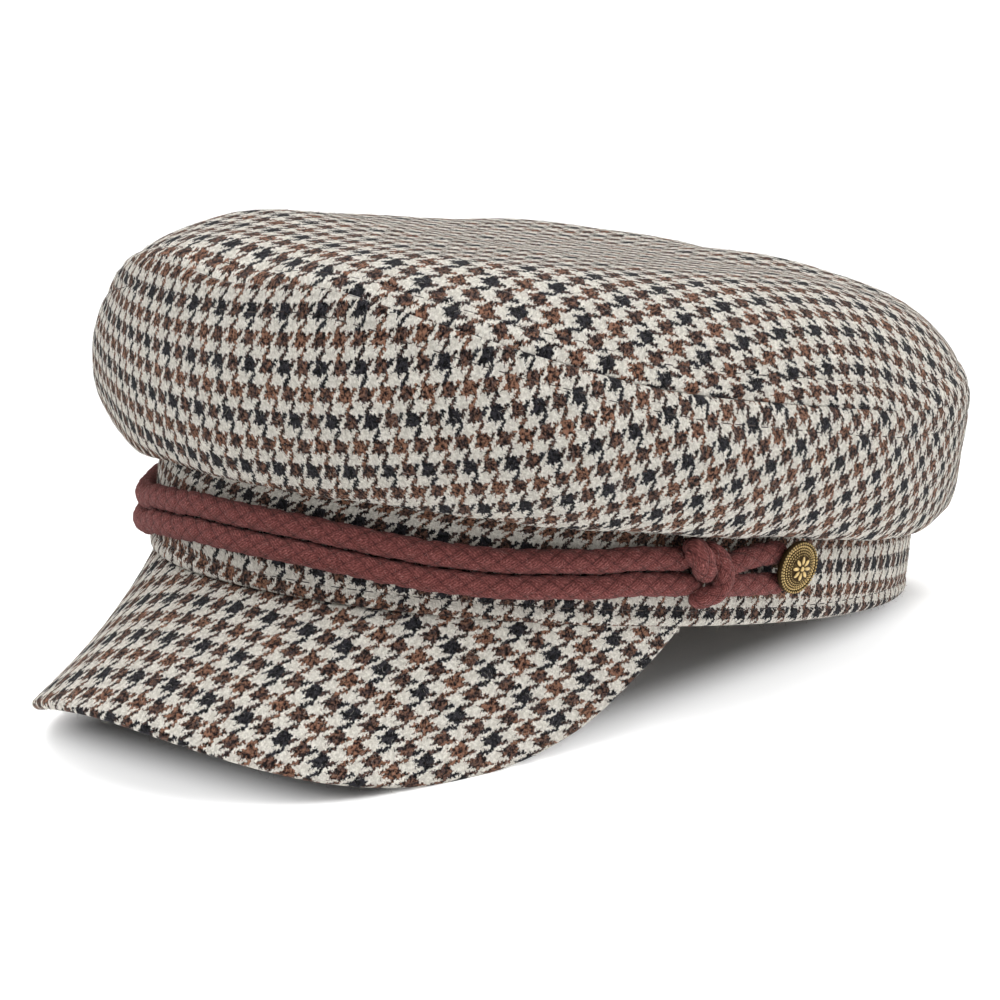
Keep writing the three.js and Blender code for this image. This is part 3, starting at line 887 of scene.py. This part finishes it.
def visor_section(length):
    """Distance along the ruling and depth under the upper face, round the cover's cloth."""
    scale = thinned(length)
    cloth, thick, lip = (COVER[key] * scale for key in ("cloth", "thickness", "lip"))
    roll, under, inside = (COVER_ROWS[key] for key in ("roll", "under", "inside"))
    edge = max(length, lip + 0.2)
    r = thick / 2
    section = [(edge - lip, thick), (edge - lip * 0.75, thick)]
    for k in range(roll + 1):
        a = math.radians(90 - 180 * k / roll)
        section.append((edge - r + r * math.cos(a), r + r * math.sin(a)))
    for k in range(1, under + 1):
        section.append((edge - r - (edge - r + TUCKED) * k / under, 0.0))
    for k in range(inside + 1):
        section.append((-TUCKED + (edge - lip + TUCKED) * k / inside, cloth))
    return section


def flat_visor(columns):
    """Each ruling's root and direction with the bent board laid flat, from the middle out."""
    rulings = [visor_ruling(-1 + 2 * i / columns) for i in range(columns + 1)]
    roots = [root for root, way, length in rulings]
    tips = [root + way * RULED for root, way, length in rulings]
    middle = columns // 2
    flat = {middle: (Vector((0, 0)), Vector((0, -RULED)))}

    def third(a, b, flat_a, flat_b, c, side):
        ab, ac, bc = (b - a).length, (c - a).length, (c - b).length
        x = (ac * ac - bc * bc + ab * ab) / (2 * ab)
        y = math.sqrt(max(ac * ac - x * x, 0)) * side
        e = (flat_b - flat_a).normalized()
        return flat_a + e * x + Vector((-e.y, e.x)) * y

    for order, side in ((range(middle + 1, columns + 1), 1), (range(middle - 1, -1, -1), -1)):
        for i in order:
            k = i - side
            root = third(roots[k], tips[k], flat[k][0], flat[k][1], roots[i], side)
            tip = third(roots[i], tips[k], root, flat[k][1], tips[i], side)
            flat[i] = (root, tip)
    return [(flat[i][0], (flat[i][1] - flat[i][0]) / RULED) for i in range(columns + 1)]


def make_visor(columns=240):
    laid = flat_visor(columns)
    sections = [visor_section(visor_ruling(-1 + 2 * i / columns)[2]) for i in range(columns + 1)]
    rows = len(sections[0])

    def point(i, j):
        t = -1 + 2 * i / columns
        root, way, length = visor_ruling(t)
        distance, depth = sections[i][j % rows]
        place = Vector((i * VISOR_SWELL["rate_round"], distance * VISOR_SWELL["rate_out"], 9.0))
        soft = VISOR_SWELL["rise"] * noise.noise(place)
        soft *= min(max(distance, 0) / VISOR_SWELL["full_from"], 1)
        return root + way * distance - visor_normal(t, distance) * (depth - soft)

    def thread(i, j):
        root, way = laid[i]
        distance, depth = sections[i][j % rows]
        spot = root + way * (distance + depth)
        return in_the_check("visor", spot.x, spot.y)

    return closed_skin("visor_cloth", columns, rows, point, thread, "threads", wool)


visor_cloth = make_visor()
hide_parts("visor_cover")
print("visor faces:", len(visor_cloth.data.polygons))

# %% [markdown]
# ## Visor lining
#
# Under the visor lies a plain dark cloth. Little of it shows, but its edge draws the thin
# dark line under the rolled brim. Its material is a simple fine weave made of one wave and a
# fine noise.

# %% Visor lining
LINING_COLOUR = (0.028, 0.026, 0.028)


def dark_lining():
    w = Nodes("dark_lining", roughness=0.85, sheen=0.15)
    place = w.add("ShaderNodeTexCoord").outputs["Object"]
    weave = w.add("ShaderNodeTexWave", wave_type="BANDS", bands_direction="DIAGONAL")
    w.link(place, weave.inputs["Vector"])
    weave.inputs["Scale"].default_value = 420
    weave.inputs["Distortion"].default_value = 1.5
    grain = w.noise(place, 900, 3)
    # Painted light: the colour is lighter on the weave's ridges and darker in its grooves, over a fine noise
    # tone.
    light = w.math("MULTIPLY_ADD", weave.outputs["Fac"], 0.5, w.around(grain, 0.55, 0.95))
    return w.finish(w.shade(LINING_COLOUR, light), weave.outputs["Fac"], 0.15 * MM)


def make_lining(columns=160, steps=20):
    rows = 2 * steps + 2

    def point(i, j):
        t = LINING["share"] * (-1 + 2 * i / columns)
        root, way, length = visor_ruling(t)
        scale = thinned(length)
        top = COVER["cloth"] * scale + LINING["gap"]
        end = length - COVER["lip"] * scale - GAP
        k = j % rows
        upper = k <= steps
        share = k / steps if upper else (rows - 1 - k) / steps
        depth = top if upper else top + LINING["cloth"] * scale
        return root + way * (share * end) - visor_normal(t, share * end) * depth

    def thread(i, j):
        return i, j

    return closed_skin("visor_lining", columns, rows, point, thread, "threads", dark_lining())


visor_lining = make_lining()
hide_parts("visor_underside")

# %% [markdown]
# ## Plaited cord
#
# The cord is an eight-strand plait: four strands wind one way and four the other, each over
# one and under one. On a long tube that shows as rounded diamonds, and the fine yarns in
# them lean by turns to the left and to the right. The relief is real geometry, because the
# diamonds are as big as a fingernail's edge. The yarns are too fine for that, so they are
# bump, and the colour is painted lighter on their crests and darker in their hollows, with
# painted shade along the gaps between the diamonds. The UV map counts diamonds, so one
# shader fits the strands, the knot and its tails.

# %% Cord material
CORD_COLOUR = (0.195, 0.055, 0.050)
CORD_LIGHT = (0.38, 0.175, 0.155)
PLAIT = {"length": 5.3, "strands": 4, "depth": 0.30, "yarns": 6, "yarn_wobble": 9.0}
CORD_LIGHTS = {"hollow": 0.62, "yarn": 0.46, "open": 1.04, "gap": -0.85}


def plaited_wool():
    w = Nodes("cord_plait", roughness=0.9, sheen=0.06, shine=0.15)
    spot = w.uv("plait")
    along, turn = w.split(spot)
    p = w.math("ADD", along, turn)
    q = w.math("SUBTRACT", along, turn)
    odd = w.math("FLOORED_MODULO", w.math("ADD", w.math("FLOOR", p), w.math("FLOOR", q)), 2.0)

    def edge(x):
        side = w.math("ABSOLUTE", w.math("SUBTRACT", w.math("FRACT", x), 0.5))
        return w.math("POWER", w.math("MULTIPLY", side, 2.0), 5.0)

    sides = w.math("MAXIMUM", edge(p), edge(q))
    corners = w.math("MULTIPLY", edge(p), edge(q))
    gap = w.math("MULTIPLY_ADD", corners, 0.6, w.math("MULTIPLY", sides, 0.4))
    across = w.math("MULTIPLY_ADD", odd, w.math("SUBTRACT", q, p), p)
    wobble = w.noise(w.join(w.math("MULTIPLY", along, 3.0), w.math("MULTIPLY", turn, 3.0)), 1.6, 3)
    turns = w.math("MULTIPLY", wobble, PLAIT["yarn_wobble"])
    turns = w.math("MULTIPLY_ADD", across, 2 * math.pi * PLAIT["yarns"], turns)
    yarns = w.math("MULTIPLY_ADD", w.math("SINE", turns), 0.5, 0.5)
    fluff = w.noise(spot, 9.0, 3, 0.75)
    # Painted light and shade: the yarn crests are lighter, the hollows between yarns darker, and the gaps
    # between the diamonds darker still, with no pale fibres on their sides.
    light = w.math("MULTIPLY_ADD", yarns, CORD_LIGHTS["yarn"], CORD_LIGHTS["hollow"])
    shadow = w.math("MULTIPLY_ADD", gap, CORD_LIGHTS["gap"], CORD_LIGHTS["open"])
    light = w.math("MULTIPLY", light, shadow)
    light = w.math("MULTIPLY", light, w.around(fluff, 0.42, 1.42, 0.32, 0.68))
    pale = w.math("MULTIPLY", w.around(fluff, 0.0, 0.5, 0.52, 0.72), w.math("SUBTRACT", 1.0, sides))
    colour = w.mix(pale, CORD_COLOUR, CORD_LIGHT)
    height = w.math("ADD", w.math("MULTIPLY", yarns, 0.7), fluff)
    return w.finish(w.shade(colour, light), height, 0.2 * MM)


cord_plait = plaited_wool()

# %% [markdown]
# ## Cord strands
#
# Each strand is a grid rolled round a centre line. At every step along the line, outward
# from the band and the cross product give the two directions of the ring, so the tube never
# twists. Both ends close in a point that is hidden inside the knot. The cord was laid by
# hand, so it strays up and down by up to 3 mm, and it sinks a little into the wool.

# %% Cord strands
CORD = {"diameter": 5.5, "height": 12.0, "sunk": 1.1}
CORD_SURFACE = {"puffed": 0.1, "rough": 0.08, "rate": 0.5}
PILLOW = 3.2
CORD_OUT = CORD["diameter"] / 2 + GAP
STRAND_RISE = CORD["diameter"] / 2 + GAP / 2


def plait_height(p, q):
    """Height of the plait's pillows, from 0 in the gaps to 1 on their tops."""
    a = abs(p % 1 - 0.5) * 2
    b = abs(q % 1 - 0.5) * 2
    return (1 - a ** PILLOW) * (1 - b ** PILLOW)


def smooth_path(points, steps):
    """Points on a Catmull-Rom curve through the given ones."""
    ends = [points[0] * 2 - points[1], *points, points[-1] * 2 - points[-2]]
    path = []
    for k in range(len(points) - 1):
        a, b, c, d = ends[k:k + 4]
        for n in range(steps):
            t = n / steps
            path.append(0.5 * (2 * b + (c - a) * t + (2 * a - 5 * b + 4 * c - d) * t * t
                               + (3 * b - a - 3 * c + d) * t ** 3))
    return [*path, points[-1]]


def plaited_tube(name, path, diameter, around=48, phase=0.0, taper=0.4):
    """A closed tube of plaited cord along a path of points in the cap's frame."""
    columns = len(path) - 1
    travelled = lengths_along(path)
    frames = []
    for i, spot in enumerate(path):
        way = (path[min(i + 1, columns)] - path[max(i - 1, 0)]).normalized()
        angle = math.degrees(math.atan2(spot.x / OVAL["side"], -spot.y / OVAL["front"]))
        out = outward(angle)
        out = (out - way * out.dot(way)).normalized()
        frames.append((spot, out, way.cross(out)))

    def spot_in_plait(i, j):
        return travelled[i] / PLAIT["length"] + phase, PLAIT["strands"] * j / around

    def point(i, j):
        spot, out, up = frames[i]
        a = 2 * math.pi * j / around
        along, turn = spot_in_plait(i, j)
        end = min(travelled[i], travelled[-1] - travelled[i])
        cap = math.sqrt(max(1 - (1 - min(end / (diameter * taper), 1)) ** 2, 0))
        fluffy = Vector((travelled[i] * CORD_SURFACE["rate"], math.cos(a) * 2, math.sin(a) * 2))
        dip = PLAIT["depth"] * (1 - plait_height(along + turn, along - turn))
        r = diameter / 2 - dip + CORD_SURFACE["puffed"] + CORD_SURFACE["rough"] * noise.noise(fluffy)
        return spot + (out * math.cos(a) + up * math.sin(a)) * r * cap

    return closed_skin(name, columns, around, point, spot_in_plait, "plait", cord_plait)


STRAY = [
    (-70, 1.2), (-62, 0.6), (-54, -1.6), (-46, -2.8), (-38, -2.9), (-31, -2.2), (-24, -0.5), (-18, 0.2),
    (-8, 1.3), (5, 1.4), (12, 1.3), (19, 0.7), (26, -0.1), (32, -0.8), (41, -1.05), (53, -0.2),
    (61, 1.0), (72, 1.2),
]
STRANDS = [
    {"name": "upper", "rise": STRAND_RISE, "end": 67.6, "phase": 0.0, "taper": 0.4},
    {"name": "lower", "rise": -STRAND_RISE, "end": 69.9, "phase": 0.4, "taper": 1.2},
]


def stray(angle):
    """How far the hand-laid cord strays above the middle of the band, in millimetres."""
    k = next(n for n in range(len(STRAY) - 1) if angle <= STRAY[n + 1][0])
    (a, low), (b, high) = STRAY[k], STRAY[k + 1]
    t = (angle - a) / (b - a)
    return low + (high - low) * t * t * (3 - 2 * t)


def strand_path(rise, end, steps=640):
    angles = [-end + 2 * end * k / steps for k in range(steps + 1)]
    out = CORD_OUT - CORD["sunk"]
    return [on_oval(angle, out, CORD["height"] + rise + stray(angle)) for angle in angles]


for row in STRANDS:
    path = strand_path(row["rise"], row["end"])
    name = "cord_strand_" + row["name"]
    cord = plaited_tube(name, path, CORD["diameter"], phase=row["phase"], taper=row["taper"])
    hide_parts("cord_" + row["name"])
    print(name, "faces:", len(cord.data.polygons))

# %% [markdown]
# ## Knots
#
# At each side the doubled cord is tied in one knot and runs on to the button. The strands
# run in behind it. The knot itself is four short lengths of the same cord: one wraps down
# over the strands, one loops round the end, and two tails run on. The right knot mirrors
# the left.

# %% Knots
KNOT_CORDS = [
    {"name": "wrap", "diameter": 6.0, "taper": 0.6, "route": [
        (66.8, 0.2, 18.2), (66.9, 2.1, 18.9), (67.3, 3.1, 18.1), (68.2, 2.9, 16.2), (69.2, 1.5, 14.2),
        (70.4, -0.5, 12.4)]},
    {"name": "loop", "diameter": 4.7, "taper": 0.5, "route": [
        (68.7, 0.4, 18.6), (69.8, 2.2, 18.0), (70.8, 3.1, 16.4), (71.4, 3.3, 14.0), (71.6, 3.0, 11.4),
        (71.1, 2.5, 9.3), (69.9, 1.8, 7.9), (68.8, 1.0, 7.4), (68.1, -0.5, 8.1)]},
    {"name": "tail_upper", "diameter": 5.3, "taper": 0.4, "route": [
        (70.4, 0.2, 13.6), (72.9, 0.3, 14.7), (74.9, 0.2, 15.75), (77.2, 0, 16.6), (79.9, 0, 17.2),
        (82.4, 0, 17.5)]},
    {"name": "tail_lower", "diameter": 5.1, "taper": 0.4, "route": [
        (70.4, 0.2, 11.0), (73.3, 0.3, 10.3), (76.7, 0, 10.1), (79.8, 0, 10.2), (82.4, 0, 10.1)]},
]

KNOT_STEPS = 12
KNOT_PHASE = 0.37
SIDES = ((1, "left"), (-1, "right"))

for side, word in SIDES:
    for k, row in enumerate(KNOT_CORDS):
        stops = [on_oval(side * angle, CORD_OUT + out, height) for angle, out, height in row["route"]]
        path = smooth_path(stops, KNOT_STEPS)
        name = f"knot_{word}_{row['name']}"
        cord = plaited_tube(name, path, row["diameter"], phase=KNOT_PHASE * k, taper=row["taper"])
        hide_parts(f"knot_{word}")
    print("knot", word, "has", len(KNOT_CORDS), "lengths of cord")

# %% [markdown]
# ## Buttons
#
# Each button is a pressed brass disc on a shank, old and dull in its hollows. The disc is a
# profile spun round its axis. Its face carries a beaded rim, a field of dots and a plain
# eight-petalled rosette. The beads and petals are small spheres sunk into the face, a few
# dozen faces each. An attribute keeps each point's height over the face, which the material
# reads to darken the hollows, as dirt does.

# %% Brass material
BRASS_DIRTY = (0.050, 0.031, 0.014)
BRASS_BARE = (0.62, 0.455, 0.205)


def old_brass():
    w = Nodes("old_brass", roughness=0.36, metallic=1.0)
    raised = w.add("ShaderNodeAttribute", attribute_name="raised").outputs["Fac"]
    place = w.add("ShaderNodeTexCoord").outputs["Object"]
    stain = w.noise(place, 1400, 4, 0.6)
    worn = w.math("ADD", raised, w.math("MULTIPLY", w.math("SUBTRACT", stain, 0.5), 0.35))
    share = w.around(worn, 0.0, 1.0)
    colour = w.mix(share, BRASS_DIRTY, BRASS_BARE)
    w.link(w.math("MULTIPLY_ADD", share, -0.28, 0.66), w.shader.inputs["Roughness"])
    return w.finish(colour, stain, 0.02 * MM, 0.5)


brass = old_brass()

# %% Buttons
BUTTON = {"angle": 83.0, "nod": 7.0, "height": 14.6, "radius": 6.3, "rim": 1.3}
FACE = {"radius": 5.6, "edge": 5.4, "sunk": 0.45, "dome": 1.36}
FACE_RINGS = (5.6, 5.2, 4.6, 3.9, 3.1, 2.2, 1.2)
SHANK = {"radius": 1.3, "foot": 1.6, "foot_height": 0.6, "neck_height": 1.2, "collar": 1.5}
TURNED = 0.5
BUTTON_BACK = CORD["diameter"] + 2 * GAP
RIM_TOP = BUTTON_BACK + BUTTON["rim"]
CLEAN = {"ground": 0.30, "each_mm": 1.3, "rim": 0.03}
DOT_RINGS = [
    {"radius": 5.85, "count": 46, "size": 0.42, "shift": 0.0, "lift": 0.36},
    {"radius": 5.10, "count": 46, "size": 0.33, "shift": 0.5, "lift": 0.12},
    {"radius": 4.45, "count": 46, "size": 0.27, "shift": 0.0, "lift": 0.06},
    {"radius": 3.86, "count": 34, "size": 0.27, "shift": 0.5, "lift": 0.03},
    {"radius": 3.28, "count": 34, "size": 0.22, "shift": 0.0, "lift": 0.0},
]
PETALS = {"count": 8, "middle": 1.8, "long": 1.1, "wide": 0.5, "high": 0.36}
CENTRE = {"size": 0.6, "lift": 0.05, "flat": 0.7}


def face_height(r):
    """Height of the button's plain face at a radius."""
    share = min(r / FACE["radius"], 1)
    return RIM_TOP - FACE["sunk"] + FACE["dome"] * (1 - share * share)


def button_profile():
    radius, rim, shank = BUTTON["radius"], BUTTON["rim"], SHANK["radius"]
    foot, back = shank * SHANK["foot"], BUTTON_BACK
    low = [(0, GAP), (foot, GAP), (foot, GAP + SHANK["foot_height"])]
    low += [(shank, GAP + SHANK["neck_height"]), (shank, back), (shank + SHANK["collar"], back)]
    turned = []
    for k in range(9):
        a = math.radians(-90 + 22.5 * k)
        turned.append((radius - TURNED + TURNED * math.cos(a), back + rim / 2 + rim / 2 * math.sin(a)))
    face = [(r, face_height(r)) for r in FACE_RINGS]
    return [*low, *turned, *face, (0, face_height(0))]


def make_button(word, side):
    shape = bmesh.new()
    rows = [shape.verts.new((r, 0, h)) for r, h in button_profile()]
    edges = [shape.edges.new(pair) for pair in zip(rows, rows[1:])]
    bmesh.ops.spin(shape, geom=[*rows, *edges], cent=(0, 0, 0), axis=(0, 0, 1),
                   angle=2 * math.pi, steps=96, use_merge=True)
    bmesh.ops.remove_doubles(shape, verts=shape.verts, dist=SAME_SPOT / 2)
    bmesh.ops.recalc_face_normals(shape, faces=shape.faces)

    def bead(r, a, size, lift, flat=1.0, detail=1):
        spot = Vector((r * math.cos(a), r * math.sin(a), face_height(r) + lift))
        matrix = Matrix.Translation(spot) @ Matrix.Scale(flat, 4, (0, 0, 1))
        bmesh.ops.create_icosphere(shape, subdivisions=detail, radius=size, matrix=matrix)

    for ring in DOT_RINGS:
        for k in range(ring["count"]):
            a = 2 * math.pi * (k + ring["shift"]) / ring["count"]
            bead(ring["radius"], a, ring["size"], ring["lift"])
    r = PETALS["middle"]
    stretch = Matrix.Diagonal((PETALS["long"], PETALS["wide"], PETALS["high"], 1))
    for k in range(PETALS["count"]):
        a = 2 * math.pi * k / PETALS["count"]
        spot = Vector((r * math.cos(a), r * math.sin(a), face_height(r)))
        matrix = Matrix.Translation(spot) @ Matrix.Rotation(a, 4, "Z") @ stretch
        bmesh.ops.create_uvsphere(shape, u_segments=16, v_segments=8, radius=1.0, matrix=matrix)
    bead(0, 0, CENTRE["size"], CENTRE["lift"], CENTRE["flat"], 3)

    raised = shape.verts.layers.float.new("raised")
    for v in shape.verts:
        r = math.hypot(v.co.x, v.co.y)
        ground = face_height(r) if r < FACE["edge"] else RIM_TOP + CLEAN["rim"]
        v[raised] = CLEAN["ground"] + CLEAN["each_mm"] * (v.co.z - ground)
    angle = side * BUTTON["angle"]
    nod = Vector((0, 0, -math.sin(math.radians(BUTTON["nod"]))))
    turn = (outward(angle) + nod).to_track_quat("Z", "Y").to_matrix().to_4x4()
    pivot = Matrix.Translation((0, 0, BUTTON_BACK))
    place = Matrix.Translation(on_oval(angle, BUTTON_BACK, BUTTON["height"])) @ turn @ pivot.inverted()
    bmesh.ops.transform(shape, matrix=TO_TABLE @ place, verts=shape.verts)
    return piece_from(f"button_{word}_face", shape, brass)


for side, word in SIDES:
    button = make_button(word, side)
    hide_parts(f"button_{word}")
    print("button faces:", len(button.data.polygons))

# %% [markdown]
# ## Topstitching
#
# Dark thread runs round the cap in three rows: one on each side of the top seam, which holds
# the seam allowance flat, and one above the band's hem. Each stitch is its own short length
# of thread. It comes up out of the cloth, lies in the groove that it pulls, and goes down
# again. A curve with a round bevel draws it, and the curve becomes a mesh at once.

# %% Stitches
STITCH = {"length": 2.9, "gap": 0.8, "radius": 0.13, "over": 0.04, "under": -0.35}
STITCH_PARTS = ((0, "under"), (0.18, "over"), (0.82, "over"), (1, "under"))
LAST_STITCH = 178.8
NEXT_TO = 0.5
JUST_BELOW = 0.99
MIDDLE_OF_CAP = Vector((0, 0, 40))


def strings(name, runs, radius, sides, material):
    """One mesh of many thin round strings. Each run is a list of points in metres."""
    curve = bpy.data.curves.new(name, "CURVE")
    curve.dimensions = "3D"
    curve.bevel_depth = radius * MM
    curve.bevel_resolution = sides
    curve.use_fill_caps = True
    for run in runs:
        line = curve.splines.new("POLY")
        line.points.add(len(run) - 1)
        for point, spot in zip(line.points, run):
            point.co = (*spot, 1)
    drawn = bpy.data.objects.new(name + "_curve", curve)
    mesh = bpy.data.meshes.new_from_object(drawn)
    bpy.data.objects.remove(drawn)
    bpy.data.curves.remove(curve)
    shape = bmesh.new()
    shape.from_mesh(mesh)
    bpy.data.meshes.remove(mesh)
    return piece_from(name, shape, material)


def plain_yarn(name, dark, light):
    w = Nodes(name, roughness=0.8, sheen=0.1, shine=0.2)
    place = w.add("ShaderNodeTexCoord").outputs["Object"]
    tone = w.noise(place, 900, 3, 0.7)
    return w.finish(w.mix(w.around(tone, 0, 1), dark, light), tone, 0.05 * MM)


def walk(curve, start, end, distance, steps=60):
    """The value between start and end at which a curve has run a distance."""
    gone = 0.0
    last = curve(start)
    for k in range(1, steps + 1):
        here = start + (end - start) * k / steps
        spot = curve(here)
        gone += (spot - last).length
        if gone >= distance:
            return here
        last = spot
    return end


def stitch_row(surface, place, lift):
    """Stitches once round the cap, at the surface's second value that place gives."""
    runs = []
    angle = -180.0
    while angle < LAST_STITCH:
        share = place(angle)
        degree = (surface(angle + NEXT_TO, share) - surface(angle - NEXT_TO, share)).length
        degree /= 2 * NEXT_TO
        run = []
        for part, height in STITCH_PARTS:
            a = angle + part * STITCH["length"] / degree
            spot = surface(a, share)
            along = surface(a + NEXT_TO, share) - spot
            normal = along.cross(surface(a, share * JUST_BELOW) - spot).normalized()
            if normal.dot(spot - MIDDLE_OF_CAP) < 0:
                normal = -normal
            run.append(TO_TABLE @ (spot + normal * (lift(spot) + STITCH[height])))
        runs.append(run)
        angle += (STITCH["length"] + STITCH["gap"]) / degree
    return runs


stitches = stitch_row(
    side_point,
    lambda angle: walk(lambda t: side_point(angle, t), 2, 1, STITCH_AWAY),
    lambda spot: seam_relief(STITCH_AWAY) + softness(spot, SIDE_WAVES) * STITCH_AWAY / SOFT_FROM,
) + stitch_row(
    top_point,
    lambda angle: walk(lambda share: top_point(angle, share), 1, 0.8, STITCH_AWAY),
    lambda spot: seam_relief(STITCH_AWAY) + softness(spot, TOP_WAVES) * STITCH_AWAY / SOFT_FROM,
) + stitch_row(
    lambda angle, height: on_oval(angle, 0, height),
    lambda angle: HEM_STITCH["height"],
    lambda spot: band_relief(spot),
)
stitch_thread = plain_yarn("stitch_thread", (0.016, 0.012, 0.012), (0.110, 0.085, 0.075))
strings("stitches", stitches, STITCH["radius"], 1, stitch_thread)
print("stitches:", len(stitches))

# %% [markdown]
# ## Loose hairs
#
# Wool is never bald. Fine hairs lie over the cloth and stand off its edges, pale ones and
# dark ones, and a few stray ones catch the light on the cord. More and longer ones stand off
# the faces that look down, which are the band's hem and the visor's edge. Each hair starts in
# a face that is picked at random by area, and bends once on its way. The random numbers have
# a seed, so that the same hairs grow each time.

# %% Loose hairs
HAIR = {"radius": 0.016, "length": (0.8, 2.4), "stand": (0.10, 0.62)}
HAIR_BEND = {"rooted": 0.1, "middle": 0.45, "tip": 0.9, "turn": 0.3}
HEM_HAIR = {"length": (0.8, 2.2), "stand": (0.3, 1.3), "steepest": -0.15}


def hairs_on(things, count, seed, length=HAIR["length"], stand=HAIR["stand"], steepest=1.0):
    """Bent hairs on the faces of some pieces whose normals rise no more than steepest."""
    dice = random.Random(seed)
    faces = []
    for thing in things:
        faces += [(thing.data, k) for k, face in enumerate(thing.data.polygons) if face.normal.z <= steepest]
    weights = [mesh.polygons[k].area for mesh, k in faces]
    runs = []
    for mesh, k in dice.choices(faces, weights, k=count):
        face = mesh.polygons[k]
        normal = face.normal
        corners = [mesh.vertices[v].co for v in face.vertices]
        spot = corners[0] + (corners[1] - corners[0]) * dice.random() - normal * HAIR_BEND["rooted"] * MM
        spot += (corners[-1] - corners[0]) * dice.random()
        side = normal.orthogonal().normalized()
        side.rotate(Matrix.Rotation(dice.uniform(0, 2 * math.pi), 3, normal))
        long = dice.uniform(*length) * MM
        high = dice.uniform(*stand) * MM
        turn = normal.cross(side) * long * dice.uniform(-HAIR_BEND["turn"], HAIR_BEND["turn"])
        middle = spot + side * long * HAIR_BEND["middle"] + normal * high * dice.uniform(0.6, 1.1) + turn
        tip = spot + side * long * HAIR_BEND["tip"] + normal * high * dice.uniform(0.5, 1.4)
        runs.append([spot, middle, tip])
    return runs


cloths = [top_cloth, side_cloth, band_cloth, visor_cloth]
pale_wool = plain_yarn("hair_pale", (0.45, 0.40, 0.34), (0.80, 0.76, 0.69))
dark_wool = plain_yarn("hair_dark", (0.014, 0.011, 0.011), (0.16, 0.085, 0.06))
red_wool = plain_yarn("hair_red", (0.16, 0.05, 0.045), (0.52, 0.33, 0.30))
cords = [thing for thing in scene.objects if thing.name.startswith(("cord_strand", "knot_"))]
strings("hairs_pale", hairs_on(cloths, 9000, 1), HAIR["radius"], 0, pale_wool)
strings("hairs_dark", hairs_on(cloths, 5000, 2), HAIR["radius"], 0, dark_wool)
strings("hairs_cord", hairs_on(cords, 1800, 3), HAIR["radius"], 0, red_wool)
hem_hairs = hairs_on([band_cloth, visor_cloth], 2600, 4, **HEM_HAIR)
strings("hairs_hem", hem_hairs, HAIR["radius"], 0, dark_wool)
